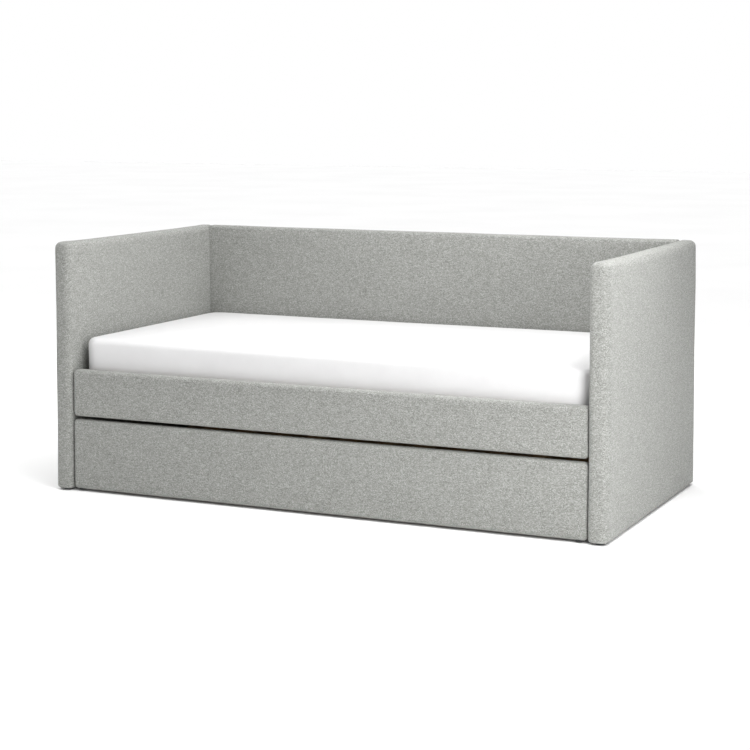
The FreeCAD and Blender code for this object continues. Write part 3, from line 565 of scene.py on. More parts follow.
def thin_sheet(name, low, high, sag, finish):
    """A stretched sheet of cloth with two faces, rounded off to nothing at its edges."""
    across = max(2, round((high.x - low.x) / DUST_SPACING))
    along = max(2, round((high.y - low.y) / DUST_SPACING))
    shape = bmesh.new()
    layers = []
    for top in (0, 1):
        rows = []
        for row in range(along + 1):
            for column in range(across + 1):
                x = low.x + (high.x - low.x) * column / across
                y = low.y + (high.y - low.y) * row / along
                middle = math.sin(math.pi * column / across) * math.sin(math.pi * row / along)
                wave = sag * middle * (0.6 + 0.8 * noise.noise(Vector((x, y, 0)) * DUST_WAVES))
                z = high.z if top else low.z - wave
                rows.append(shape.verts.new((x, y, z)))
        layers.append(rows)
    wide = across + 1
    for top, rows in enumerate(layers):
        for row in range(along):
            for column in range(across):
                start = row * wide + column
                ring = [rows[start], rows[start + 1], rows[start + wide + 1], rows[start + wide]]
                shape.faces.new(ring if top else ring[::-1])
    rim = list(range(wide))
    rim += [row * wide + across for row in range(1, along + 1)]
    rim += [along * wide + column for column in range(across - 1, -1, -1)]
    rim += [row * wide for row in range(along - 1, 0, -1)]
    for here, after in zip(rim, rim[1:] + rim[:1]):
        shape.faces.new([layers[0][here], layers[0][after], layers[1][after], layers[1][here]])
    return close_shape(name, shape, finish)


def row_tree(name, sockets):
    """An empty tree for a straight row of like things, with the row's own inputs and the thing's sizes.

    Returns the tree, what each input gives, and the inputs' identifiers.
    """
    tree = bpy.data.node_groups.new(name, "GeometryNodeTree")
    tree.is_modifier = True
    tree.interface.new_socket(name="Geometry", in_out="OUTPUT", socket_type="NodeSocketGeometry")
    identifiers = {}
    row_sockets = {"Count": "Int", "Start": "Vector", "Step": "Vector", "Seed": "Int"}
    for label, kind in (row_sockets | sockets).items():
        identifiers[label] = tree.interface.new_socket(
            name=label, in_out="INPUT", socket_type=f"NodeSocket{kind}").identifier
    given = tree.nodes.new("NodeGroupInput").outputs
    return tree, given, identifiers


def joined(tree, *parts):
    """Several lots of geometry as one."""
    join = tree.nodes.new("GeometryNodeJoinGeometry")
    for part in parts:
        tree.links.new(part, join.inputs[0])
    return join.outputs[0]


def set_out(tree, given, thing, **turning):
    """Copies of a thing, one at each step of the row."""
    line = first_out(tree, "GeometryNodeMeshLine", {
        "Count": given["Count"], "Start Location": given["Start"], "Offset": given["Step"]})
    return first_out(tree, "GeometryNodeInstanceOnPoints", {"Points": line, "Instance": thing, **turning})


def close_tree(tree, instances, material):
    """Ends a tree with real geometry in its material."""
    real = first_out(tree, "GeometryNodeRealizeInstances", {"Geometry": instances})
    painted = first_out(tree, "GeometryNodeSetMaterial", {"Geometry": real, "Material": material})
    out = tree.nodes.new("NodeGroupOutput")
    tree.links.new(painted, out.inputs["Geometry"])


def grow(name, rows):
    """Runs a tree once for each set of inputs and joins what it makes into one plain mesh."""
    meshes = []
    for tree, identifiers, values in rows:
        host = bpy.data.objects.new(f"{name}_host", bpy.data.meshes.new(f"{name}_host"))
        bpy.context.scene.collection.objects.link(host)
        maker = host.modifiers.new("maker", "NODES")
        maker.node_group = tree
        for label, value in values.items():
            maker[identifiers[label]] = value
        depsgraph = bpy.context.evaluated_depsgraph_get()
        meshes.append(bpy.data.meshes.new_from_object(host.evaluated_get(depsgraph)))
        host.modifiers.remove(maker)
        bpy.data.objects.remove(host)
    shape = bmesh.new()
    for mesh in meshes:
        shape.from_mesh(mesh)
    mesh = bpy.data.meshes.new(name)
    shape.to_mesh(mesh)
    shape.free()
    return new_piece(name, mesh, *meshes[0].materials)


def staple_tree(steel):
    """A row of staple crowns: short flattened wires, each a little askew."""
    tree, given, identifiers = row_tree("staple row", {"Crown": "Vector", "Wire": "Float"})
    half = add_node(tree, "ShaderNodeVectorMath", {0: given["Crown"], "Scale": 0.5}, operation="SCALE")
    minus = add_node(tree, "ShaderNodeVectorMath", {0: given["Crown"], "Scale": -0.5}, operation="SCALE")
    crown = first_out(tree, "GeometryNodeCurvePrimitiveLine", {
        "Start": minus.outputs[0], "End": half.outputs[0]})
    radius = calc(tree, "MULTIPLY", given["Wire"], 0.5)
    wire = first_out(tree, "GeometryNodeCurvePrimitiveCircle", {"Resolution": 8, "Radius": radius})
    staple = first_out(tree, "GeometryNodeCurveToMesh", {
        "Curve": crown, "Profile Curve": wire, "Fill Caps": True})
    askew = first_out(tree, "FunctionNodeRandomValue", {
        0: (0, 0, -0.12), 1: (0, 0, 0.12), "Seed": given["Seed"]}, data_type="FLOAT_VECTOR")
    close_tree(tree, set_out(tree, given, staple, Rotation=askew), steel)
    return tree, identifiers


dust_cloth = dust_cloth_finish()
staple_steel = bright_steel_finish("staple_steel", STAPLE_STEEL, 0.35)
staples, staple_inputs = staple_tree(staple_steel)
staple_rows = []
for node, rests_on in (("arm_dust_cover_left", "arm_frame_left"), ("arm_dust_cover_right", "arm_frame_right"),
                       ("back_dust_cover", "back_frame")):
    low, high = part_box(node)
    low.z -= DUST_DROP
    high.z -= DUST_DROP
    dust_sheet = thin_sheet(f"{node}_sheet", low, high, DUST_SAG, dust_cloth)
    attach(dust_sheet, "daybed")
    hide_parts(node)
    long_way = 0 if high.x - low.x > high.y - low.y else 1
    short_way = 1 - long_way
    along = Vector((1 - long_way, long_way, 0))
    count = int((high[long_way] - low[long_way]) / STAPLE_PITCH)
    pitch = (high[long_way] - low[long_way]) / count
    for edge in (low[short_way] + STAPLE_INSET, high[short_way] - STAPLE_INSET):
        start = along * (low[long_way] + pitch / 2) + Vector((0, 0, low.z))
        start[short_way] = edge
        staple_rows.append((staples, staple_inputs, {
            "Count": count, "Start": start, "Step": along * pitch, "Crown": along * STAPLE_WIDTH,
            "Wire": STAPLE_WIRE, "Seed": STAPLE_SEED}))
dust_staples = grow("dust_cover_staples", staple_rows)
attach(dust_staples, "daybed")


# ---- Floor glides ----------------------------------------------------------------------------------------
# Moulded black discs nailed into the feet of the arms and the back.

PLASTIC_BLACK = (0.010, 0.010, 0.011, 1)
PLASTIC_WORN = (0.030, 0.030, 0.031, 1)


def moulded_finish(name, colour, worn, roughness):
    """Moulded plastic with a fine spark-eroded grain, paler where it rubs."""
    finish, tree, shader = new_finish(name, {"Specular IOR Level": 0.45})
    place = object_place(tree)
    grain = cloudy(tree, place, 1500, 2, 0.5)
    rubbed = cloudy(tree, place, 90, 4, 0.6)
    dress(tree, shader, colour_steps(tree, rubbed, [(0.45, colour), (0.75, worn)]),
          (rubbed, 0.25, roughness - 0.12), (grain, 0.0001, 0.5))
    return finish


glide_plastic = moulded_finish("glide_plastic", PLASTIC_BLACK, PLASTIC_WORN, 0.5)
finish_parts(["floor_glides"], glide_plastic)


# ---- Front rail ------------------------------------------------------------------------------------------
# A plywood board padded on its face and wrapped in tweed, the cloth turned over its edges.
# Steel angles bolt it and the back to the arms.

RAIL_EDGE_RADIUS = 0.014
PANEL_SLACK = 0.003
RAIL_SETTLE = (0.0065, 0.0065)
PANEL_END_SPREAD = 0.0015
PANEL_CROWN_REACH = 0.06
PANEL_BACK_RADIUS = 0.003
PANEL_FLAT_BACK = 0.01
PANEL_WAVE = 0.0004
PANEL_WAVELENGTH = 0.12
BOARD_POCKET_MARGIN = 0.0015
CLOTH_FOLD_ANGLE = 60
PLYWOOD_PALE = (0.62, 0.45, 0.27, 1)
PLYWOOD_DARK = (0.42, 0.27, 0.14, 1)
PLY_THICKNESS = 0.0016
ZINC = (0.60, 0.61, 0.63, 1)


def plywood_finish():
    """Rotary-cut veneer on the faces, with the edges of alternate plies in stripes."""
    finish, tree, shader = new_finish("plywood", {"Specular IOR Level": 0.3})
    place = object_place(tree, (1, 10, 6))
    figure = first_out(tree, "ShaderNodeTexNoise", {
        "Vector": place, "Scale": 6, "Detail": 3, "Roughness": 0.5, "Distortion": 2.0})
    bands = calc(tree, "PINGPONG", calc(tree, "MULTIPLY", figure, 7), 1)
    pores = cloudy(tree, object_place(tree, (2, 20, 20)), 90, 4, 0.6)
    depth = add_node(tree, "ShaderNodeSeparateXYZ", {"Vector": object_place(tree)}).outputs["Y"]
    plies = calc(tree, "PINGPONG", calc(tree, "DIVIDE", depth, PLY_THICKNESS), 1)
    normal = add_node(tree, "ShaderNodeNewGeometry").outputs["Normal"]
    facing = add_node(tree, "ShaderNodeSeparateXYZ", {"Vector": normal}).outputs["Y"]
    on_edge = calc(tree, "LESS_THAN", calc(tree, "ABSOLUTE", facing), 0.5)
    figured = blend(tree, (pores, 0.6), (bands, 0.4))
    striped = blend(tree, (pores, 0.4), (plies, 0.6))
    tone = first_out(tree, "ShaderNodeMix", {0: on_edge, 2: figured, 3: striped})
    colours = colour_steps(tree, tone, [(0.2, PLYWOOD_DARK), (0.7, PLYWOOD_PALE)])
    dress(tree, shader, colours, (pores, 0.2, 0.6), (tone, 0.0003, 0.5))
    return finish


def pocket(piece, board, margin):
    """Opens the pad's back to let the board in flush, with the cloth turned in round it."""
    board_low, board_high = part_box(board)
    shape = bmesh.new()
    shape.from_mesh(piece.data)
    behind = [face for face in shape.faces
              if face.normal.y > 0.99
              and board_low.x - margin < face.calc_center_median().x < board_high.x + margin
              and board_low.z - margin < face.calc_center_median().z < board_high.z + margin]
    grown = bmesh.ops.extrude_face_region(shape, geom=behind)
    moved = [item for item in grown["geom"] if isinstance(item, bmesh.types.BMVert)]
    for point in moved:
        point.co.y = board_low.y - margin / 2
    stale = [face for face in behind if face.is_valid]
    bmesh.ops.delete(shape, geom=stale, context="FACES")
    bmesh.ops.recalc_face_normals(shape, faces=shape.faces)
    shape.to_mesh(piece.data)
    shape.free()
    piece.data.set_sharp_from_angle(angle=math.radians(CLOTH_FOLD_ANGLE))


def faced_panel(name, padding, board, radius, slack, settle, body):
    """An upholstered front panel: the pad pressed out on its face, flat and open behind for its board.

    The cloth and foam settle downwards a little on the board, at the pad's foot and at its top.
    """
    low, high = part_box(padding)
    board_low, board_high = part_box(board)
    low_slack = Vector((0, slack, slack / 2))
    high_slack = Vector((0, 0, slack / 2))
    spread = Vector((PANEL_END_SPREAD, 0, 0))
    form_low = low + low_slack - spread - Vector((0, 0, settle[0]))
    form_high = high - high_slack + spread - Vector((0, 0, settle[1]))
    marks = [(), (), ()]
    for axis in (0, 2):
        around_board = (board_low[axis] - BOARD_POCKET_MARGIN, board_high[axis] + BOARD_POCKET_MARGIN)
        marks[axis] = [mark for mark in around_board
                       if form_low[axis] + radius < mark < form_high[axis] - radius]
    pad = panel_form(name, form_low, form_high, (radius,) * 3, (radius, PANEL_BACK_RADIUS, radius), tweed,
                     marks)
    room = room_to_swell(pad, form_low, form_high, low_slack, high_slack, PANEL_CROWN_REACH)
    from_back = form_high.y - points_of(pad.data)[:, 1]
    pad_out(pad, room * np.clip(from_back / PANEL_FLAT_BACK, 0, 1), PANEL_WAVE, PANEL_WAVELENGTH)
    pocket(pad, board, BOARD_POCKET_MARGIN)
    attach(pad, body)
    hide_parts(padding)


faced_panel("rail_cover", "rail_padding", "rail_board", RAIL_EDGE_RADIUS, PANEL_SLACK, RAIL_SETTLE,
            "daybed")
plywood = plywood_finish()
finish_parts(["rail_board"], plywood)
zinc_steel = bright_steel_finish("zinc_steel", ZINC, 0.38, (1, 1, 6))
finish_parts(["rail_brackets", "back_brackets", "frame_bolts", "bracket_screws", "ledger_screws"], zinc_steel)


# ---- Bed deck --------------------------------------------------------------------------------------------
# Planed pine slats screwed down on two ledgers, kept apart by two webbing straps stapled along them.

PINE_PALE = (0.72, 0.53, 0.32, 1)
PINE_DARK = (0.46, 0.28, 0.13, 1)
BED_SLAT_COUNT = 13
BED_SLAT_WIDTH = 0.070
SLAT_EDGE_RADIUS = 0.0025
SCREW_HEAD_RADIUS = 0.0045
SCREW_HEAD_DEPTH = 0.003
SCREW_SLOT = 0.0028
SLOT_WAIST = 0.32
SHANK_SHARE = 0.45
HEAD_CORNERS = 20
SCREW_PROUD = 0.0002
SLAT_SEED = 11
STRAP_PALE = (0.66, 0.62, 0.52, 1)
STRAP_DARK = (0.40, 0.37, 0.29, 1)
STRAP_SAG = 0.0035
STRAP_STEP = 0.008
STRAP_OUTLINE = ((0, 0.15), (0.04, 0), (0.96, 0), (1, 0.15), (1, 0.85), (0.96, 1), (0.04, 1), (0, 0.85))


def slat_finish():
    """Plain-sawn pine, grain along the slat; the number stored on each slat shifts its figure and shade."""
    finish, tree, shader = new_finish("pine_slats", {"Specular IOR Level": 0.32})
    number = add_node(tree, "ShaderNodeAttribute", attribute_name="slat_shade").outputs["Fac"]
    jump = add_node(tree, "ShaderNodeCombineXYZ", {
        "X": calc(tree, "MULTIPLY", number, 3.0), "Y": calc(tree, "MULTIPLY", number, 17.0), "Z": number})
    point = first_out(tree, "ShaderNodeVectorMath", {
        0: object_place(tree), 1: jump.outputs[0]}, operation="ADD")
    drawn_out = first_out(tree, "ShaderNodeMapping", {"Vector": point, "Scale": (14, 1, 14)})
    rings = first_out(tree, "ShaderNodeTexNoise", {
        "Vector": drawn_out, "Scale": 2.2, "Detail": 2, "Roughness": 0.5, "Distortion": 0.8})
    bands = calc(tree, "FRACT", calc(tree, "MULTIPLY", rings, 11))
    fine = first_out(tree, "ShaderNodeMapping", {"Vector": point, "Scale": (60, 2, 60)})
    fibres = cloudy(tree, fine, 12, 4, 0.6)
    knots = first_out(tree, "ShaderNodeTexVoronoi", {
        "Vector": first_out(tree, "ShaderNodeMapping", {"Vector": point, "Scale": (1, 0.6, 1)}),
        "Scale": 3.4})
    knot = calc(tree, "SMOOTH_MIN", calc(tree, "MULTIPLY", knots, 22), 1, 0.4)
    late_wood = calc(tree, "POWER", bands, 1.6)
    tone = blend(tree, (late_wood, -0.32), (fibres, 0.35), (number, 0.16), (knot, 0.45))
    colours = colour_steps(tree, tone, [(0.05, PINE_DARK), (0.62, PINE_PALE)])
    dress(tree, shader, colours, (fibres, 0.2, 0.5), (tone, 0.0003, 0.5))
    return finish


def webbing_finish():
    """A coarse plain-woven polypropylene strap."""
    finish, tree, shader = new_finish("webbing", {"Specular IOR Level": 0.35, "Sheen Weight": 0.1})
    split = add_node(tree, "ShaderNodeSeparateXYZ", {"Vector": object_place(tree, (500, 500, 1))})
    ribs = rounded(tree, split.outputs["X"])
    cords = rounded(tree, split.outputs["Y"])
    weave = calc(tree, "MULTIPLY", ribs, cords)
    stain = cloudy(tree, object_place(tree), 60, 3, 0.6)
    tone = blend(tree, (stain, 0.4), (weave, 0.6))
    dress(tree, shader, colour_steps(tree, tone, [(0.15, STRAP_DARK), (0.7, STRAP_PALE)]),
          (stain, 0.2, 0.55), (weave, 0.0004, 0.8))
    return finish


def slat_tree(finish):
    """A row of like slats with eased edges, each with a number of its own for its grain."""
    tree, given, identifiers = row_tree("slat row", {
        "Width": "Float", "Thickness": "Float", "Length": "Float", "Edge": "Float"})
    outline = first_out(tree, "GeometryNodeCurvePrimitiveQuadrilateral", {
        "Width": given["Width"], "Height": given["Thickness"]})
    eased = first_out(tree, "GeometryNodeFilletCurve", {
        "Curve": outline, "Radius": given["Edge"], "Count": 3}, mode="POLY")
    end_grain = first_out(tree, "GeometryNodeFillCurve", {"Curve": eased}, mode="NGONS")
    drawn = first_out(tree, "GeometryNodeExtrudeMesh", {
        "Mesh": end_grain, "Offset Scale": given["Length"]}, mode="FACES")
    near_end = first_out(tree, "GeometryNodeFlipFaces", {"Mesh": end_grain})
    whole = first_out(tree, "GeometryNodeMergeByDistance", {
        "Geometry": joined(tree, drawn, near_end), "Distance": 1e-5})
    lying = first_out(tree, "GeometryNodeTransform", {
        "Geometry": whole, "Rotation": (-math.pi / 2, 0, 0)})
    slats = set_out(tree, given, lying)
    number = add_node(tree, "FunctionNodeRandomValue", {"Seed": given["Seed"]}, data_type="FLOAT")
    shaded = first_out(tree, "GeometryNodeStoreNamedAttribute", {
        "Geometry": slats, "Name": "slat_shade", "Value": number.outputs[1]},
        data_type="FLOAT", domain="INSTANCE")
    close_tree(tree, shaded, finish)
    return tree, identifiers


def screw_tree(steel):
    """A row of countersunk screw heads, each with a cross slot and turned its own way."""
    tree, given, identifiers = row_tree("screw row", {"Head": "Float", "Depth": "Float", "Slot": "Float"})
    disc = add_node(tree, "GeometryNodeCurvePrimitiveCircle", {
        "Resolution": HEAD_CORNERS, "Radius": given["Head"]})
    star = add_node(tree, "GeometryNodeCurveStar", {
        "Points": 4, "Outer Radius": given["Slot"],
        "Inner Radius": calc(tree, "MULTIPLY", given["Slot"], SLOT_WAIST)})
    rims = joined(tree, disc.outputs[0], star.outputs[0])
    ring = first_out(tree, "GeometryNodeFillCurve", {"Curve": rims})
    floor = first_out(tree, "GeometryNodeFillCurve", {"Curve": star.outputs[0]})
    down = calc(tree, "MULTIPLY", given["Depth"], -0.5)
    sunk = add_node(tree, "GeometryNodeTransform", {
        "Geometry": floor, "Translation": first_out(tree, "ShaderNodeCombineXYZ", {"Z": down})})
    cone = add_node(tree, "GeometryNodeMeshCone", {
        "Vertices": HEAD_CORNERS, "Radius Top": given["Head"], "Depth": given["Depth"],
        "Radius Bottom": calc(tree, "MULTIPLY", given["Head"], SHANK_SHARE)}, fill_type="NONE")
    lowered = add_node(tree, "ShaderNodeCombineXYZ", {"Z": calc(tree, "MULTIPLY", given["Depth"], -1)})
    shank = add_node(tree, "GeometryNodeTransform", {
        "Geometry": cone.outputs["Mesh"], "Translation": lowered.outputs[0]})
    turned = first_out(tree, "FunctionNodeRandomValue", {
        0: (0, 0, 0), 1: (0, 0, 3.14), "Seed": given["Seed"]}, data_type="FLOAT_VECTOR")
    head = joined(tree, ring, sunk.outputs[0], shank.outputs[0])
    close_tree(tree, set_out(tree, given, head, Rotation=turned), steel)
    return tree, identifiers


def slat_row(name, node, count, width, body):
    """The slats of one deck, where the row of slats is."""
    low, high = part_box(node)
    first = low.x + width / 2
    pitch = (high.x - low.x - width) / (count - 1)
    middle = (low.z + high.z) / 2
    row = grow(name, [(slats_maker, slats_inputs, {
        "Count": count, "Start": Vector((first, low.y, middle)), "Step": Vector((pitch, 0, 0)),
        "Width": width, "Thickness": high.z - low.z, "Length": high.y - low.y,
        "Edge": SLAT_EDGE_RADIUS, "Seed": SLAT_SEED})])
    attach(row, body)
    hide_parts(node)
    return first, pitch, high.z


def screw_heads(name, node, rows, body):
    """Screw heads in straight rows, each row a count, a start and a step."""
    heads = grow(name, [(screws_maker, screws_inputs, {
        "Count": count, "Start": start, "Step": step, "Head": SCREW_HEAD_RADIUS, "Depth": SCREW_HEAD_DEPTH,
        "Slot": SCREW_SLOT, "Seed": SLAT_SEED}) for count, start, step in rows])
    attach(heads, body)
    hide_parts(node)


finish_parts(["rail_ledger", "back_ledger"],
             wood_finish("pine_ledgers", PINE_PALE, PINE_DARK, (1, 10, 10), 0.6))
slats_maker, slats_inputs = slat_tree(slat_finish())
screws_maker, screws_inputs = screw_tree(zinc_steel)
first_slat, slat_pitch, deck_height = slat_row("bed_slat_row", "bed_slats", BED_SLAT_COUNT, BED_SLAT_WIDTH,
                                               "daybed")
screw_rows = []
for ledger in ("rail_ledger", "back_ledger"):
    ledger_low, ledger_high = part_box(ledger)
    start = Vector((first_slat, (ledger_low.y + ledger_high.y) / 2, deck_height + SCREW_PROUD))
    screw_rows.append((BED_SLAT_COUNT, start, Vector((slat_pitch, 0, 0))))
screw_heads("bed_slat_screws", "slat_screws", screw_rows, "daybed")

strap_low, strap_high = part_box("slat_straps")
strap_width = 0.025
webbing = webbing_finish()
strap_staple_rows = []
for strap_name, strap_start in (("front", strap_low.y), ("back", strap_high.y - strap_width)):
    steps = round((strap_high.x - strap_low.x) / STRAP_STEP)
    shape = bmesh.new()
    rings = []
    for step in range(steps + 1):
        x = strap_low.x + (strap_high.x - strap_low.x) * step / steps
        between = (x - first_slat) / slat_pitch % 1.0
        clear = max(0.0, 1 - abs(between - 0.5) / (0.5 - BED_SLAT_WIDTH / 2 / slat_pitch))
        sag = STRAP_SAG * clear * clear * (3 - 2 * clear)
        rings.append([shape.verts.new((x, strap_start + strap_width * share,
                                       strap_low.z - sag + (strap_high.z - strap_low.z) * lift))
                      for share, lift in STRAP_OUTLINE])
    for here, after in zip(rings, rings[1:]):
        for corner in range(len(STRAP_OUTLINE)):
            shape.faces.new([here[corner - 1], here[corner], after[corner], after[corner - 1]])
    shape.faces.new(rings[0])
    shape.faces.new(rings[-1][::-1])
    strap = close_shape(f"slat_strap_{strap_name}", shape, webbing)
    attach(strap, "daybed")
    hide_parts("slat_straps")
    strap_staple_rows.append((staples, staple_inputs, {
        "Count": BED_SLAT_COUNT, "Step": Vector((slat_pitch, 0, 0)), "Crown": Vector((0, STAPLE_WIDTH, 0)),
        "Start": Vector((first_slat, strap_start + strap_width / 2, strap_high.z - STAPLE_WIRE / 4)),
        "Wire": STAPLE_WIRE, "Seed": STAPLE_SEED}))
strap_staples = grow("strap_staples", strap_staple_rows)
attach(strap_staples, "daybed")


# ---- Mattress --------------------------------------------------------------------------------------------
# A foam mattress in a plain white knitted cover, lying loose on the slats between the arms.

KNIT_WHITE = (0.640, 0.638, 0.640, 1)
KNIT_SHADE = (0.592, 0.588, 0.592, 1)
KNIT_PITCH = 0.0016
MATTRESS_CORNER_RADIUS = 0.055
MATTRESS_EDGE_RADIUS = 0.025
MATTRESS_SLACK = 0.003
MATTRESS_LOFT = 0.008
MATTRESS_LEFT_GAP = 0.006
MATTRESS_RIGHT_REACH = 0.003
MATTRESS_CROWN_REACH = 0.12
MATTRESS_WAVE = 0.0008
MATTRESS_WAVELENGTH = 0.22
MATTRESS_SPACING = 0.018
CORNER_STEPS = 8
EDGE_STEPS = 6
FLAT_SHARES = (0.0, 0.35, 0.7)


def knit_finish():
    """Fine knitted jersey: rows of small loops, barely visible, on a matt white cover."""
    finish, tree, shader = new_finish("mattress_knit", {
        "Specular IOR Level": 0.25, "Sheen Weight": 0.15, "Sheen Roughness": 0.5})
    split = add_node(tree, "ShaderNodeSeparateXYZ", {"Vector": object_place(tree, (1 / KNIT_PITCH,) * 3)})
    wales = calc(tree, "SINE", calc(tree, "MULTIPLY", split.outputs["X"], 2 * math.pi))
    rows = calc(tree, "ADD", split.outputs["Y"], split.outputs["Z"])
    courses = calc(tree, "SINE", calc(tree, "MULTIPLY", rows, 2 * math.pi))
    loops = calc(tree, "MULTIPLY_ADD", calc(tree, "MULTIPLY", wales, courses), 0.5, 0.5)
    soft = cloudy(tree, object_place(tree), 14, 3, 0.5)
    tone = blend(tree, (soft, 0.5), (loops, 0.35))
    dress(tree, shader, colour_steps(tree, tone, [(0.1, KNIT_SHADE), (0.6, KNIT_WHITE)]),
          (soft, 0.1, 0.8), (calc(tree, "MULTIPLY_ADD", soft, 3.0, loops), 0.0002, 0.5))
    return finish


def outline_stops(half_long, half_wide):
    """Points round a rectangle with rounded corners: the point on its core, and the way out from there."""
    core_long = half_long - MATTRESS_CORNER_RADIUS
    core_wide = half_wide - MATTRESS_CORNER_RADIUS
    long_count = round(2 * core_long / MATTRESS_SPACING)
    wide_count = round(2 * core_wide / MATTRESS_SPACING)
    corners = [(-core_long, -core_wide), (core_long, -core_wide),
               (core_long, core_wide), (-core_long, core_wide)]
    counts = [long_count, wide_count, long_count, wide_count]
    stops = []
    for number, (count, start) in enumerate(zip(counts, corners)):
        end = corners[(number + 1) % 4]
        heading = -math.pi / 2 + number * math.pi / 2
        for step in range(count + 1):
            share = step / count
            stops.append(((start[0] + (end[0] - start[0]) * share, start[1] + (end[1] - start[1]) * share),
                          (math.cos(heading), math.sin(heading))))
        for step in range(1, CORNER_STEPS):
            turn = heading + math.pi / 2 * step / CORNER_STEPS
            stops.append((end, (math.cos(turn), math.sin(turn))))
    return stops, long_count, wide_count


def mattress_form(name, low, high, finish):
    """A closed mattress: its edge profile swept round the outline, with an even grid on both faces."""
    middle = (low + high) / 2
    half = (high - low) / 2
    stops, long_count, wide_count = outline_stops(half.x, half.y)
    profile = []
    flat_reach = MATTRESS_CORNER_RADIUS - MATTRESS_EDGE_RADIUS
    for share in FLAT_SHARES:
        profile.append((flat_reach * share, half.z))
    for step in range(EDGE_STEPS + 1):
        turn = math.pi / 2 * step / EDGE_STEPS
        profile.append((flat_reach + MATTRESS_EDGE_RADIUS * math.sin(turn),
                        half.z - MATTRESS_EDGE_RADIUS * (1 - math.cos(turn))))
    side_height = 2 * (half.z - MATTRESS_EDGE_RADIUS)
    side_count = round(side_height / MATTRESS_SPACING)
    for step in range(1, side_count):
        down = side_height * step / side_count
        profile.append((MATTRESS_CORNER_RADIUS, half.z - MATTRESS_EDGE_RADIUS - down))
    profile += [(reach, -height) for reach, height in profile[:len(FLAT_SHARES) + EDGE_STEPS + 1][::-1]]
    shape = bmesh.new()
    rings = []
    for (core_x, core_y), (out_x, out_y) in stops:
        rings.append([shape.verts.new((middle.x + core_x + out_x * reach, middle.y + core_y + out_y * reach,
                                       middle.z + height)) for reach, height in profile])
    for here, after in zip(rings, rings[1:] + rings[:1]):
        for step in range(len(profile) - 1):
            shape.faces.new([here[step], here[step + 1], after[step + 1], after[step]])
    core_long = half.x - MATTRESS_CORNER_RADIUS
    core_wide = half.y - MATTRESS_CORNER_RADIUS
    for height in (half.z, -half.z):
        grid = [[shape.verts.new((middle.x - core_long + 2 * core_long * column / long_count,
                                  middle.y - core_wide + 2 * core_wide * row / wide_count, middle.z + height))
                 for column in range(long_count + 1)] for row in range(wide_count + 1)]
        for near_row, far_row in zip(grid, grid[1:]):
            for column in range(long_count):
                after = column + 1
                shape.faces.new([near_row[column], near_row[after], far_row[after], far_row[column]])
    bmesh.ops.remove_doubles(shape, verts=shape.verts, dist=1e-5)
    bmesh.ops.dissolve_degenerate(shape, edges=shape.edges, dist=1e-6)
    piece = close_shape(name, shape, finish)
    piece.data.shade_smooth()
    return piece


mattress_low, mattress_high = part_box("mattress")
low_slack = Vector((MATTRESS_SLACK, MATTRESS_SLACK, 0))
high_slack = Vector((MATTRESS_SLACK, MATTRESS_SLACK, MATTRESS_SLACK / 2))
form_low = mattress_low + low_slack + Vector((MATTRESS_LEFT_GAP, 0, 0))
form_high = mattress_high - high_slack + Vector((MATTRESS_RIGHT_REACH, 0, MATTRESS_LOFT))
mattress = mattress_form("mattress_body", form_low, form_high, knit_finish())
room = room_to_swell(mattress, form_low, form_high, low_slack, high_slack, MATTRESS_CROWN_REACH)
pad_out(mattress, room, MATTRESS_WAVE, MATTRESS_WAVELENGTH)
points = points_of(mattress.data)
points[:, 2] = np.maximum(points[:, 2], mattress_low.z)
set_points(mattress.data, points)
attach(mattress, "mattress")
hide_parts("mattress")


# ---- Trundle front ---------------------------------------------------------------------------------------
# A padded plywood board like the rail, wrapped in the same tweed, on two black glides near its ends.

TRUNDLE_EDGE_RADIUS = 0.014
TRUNDLE_SETTLE = (0.004, 0.0025)

faced_panel("trundle_cover", "trundle_front_padding", "trundle_front_board", TRUNDLE_EDGE_RADIUS,
            PANEL_SLACK, TRUNDLE_SETTLE, "trundle")
finish_parts(["trundle_front_board"], plywood)
finish_parts(["trundle_front_glides"], glide_plastic)


# ---- Trundle carcass -------------------------------------------------------------------------------------
# Planed pine side rails, back rail, beam and ledger, screwed together and to the front by steel angles.
# A second deck of like slats is screwed down on the back rail and the ledger.

TRUNDLE_SLAT_COUNT = 13
TRUNDLE_SLAT_WIDTH = 0.070

finish_parts(["trundle_side_left", "trundle_side_right"],
             wood_finish("pine_side_rails", PINE_PALE, PINE_DARK, (10, 1, 10), 0.6))
finish_parts(["trundle_back_rail", "trundle_beam", "trundle_ledger"],
             wood_finish("pine_cross_rails", PINE_PALE, PINE_DARK, (1, 10, 10), 0.6))
finish_parts(["trundle_brackets", "trundle_screws", "caster_screws"], zinc_steel)
first_slat, slat_pitch, trundle_deck = slat_row("trundle_slat_row", "trundle_slats", TRUNDLE_SLAT_COUNT,
                                                TRUNDLE_SLAT_WIDTH, "trundle")
screw_rows = []
for rail, left_out in (("trundle_back_rail", 0), ("trundle_ledger", 1)):
    rail_low, rail_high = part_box(rail)
    start = Vector((first_slat + left_out * slat_pitch, (rail_low.y + rail_high.y) / 2,
                    trundle_deck + SCREW_PROUD))
    screw_rows.append((TRUNDLE_SLAT_COUNT - 2 * left_out, start, Vector((slat_pitch, 0, 0))))
screw_heads("trundle_slat_heads", "trundle_slat_screws", screw_rows, "trundle")


# ---- Casters ---------------------------------------------------------------------------------------------
# Fixed casters: a pressed steel fork in black powder coat, a riveted axle and a dished nylon wheel.

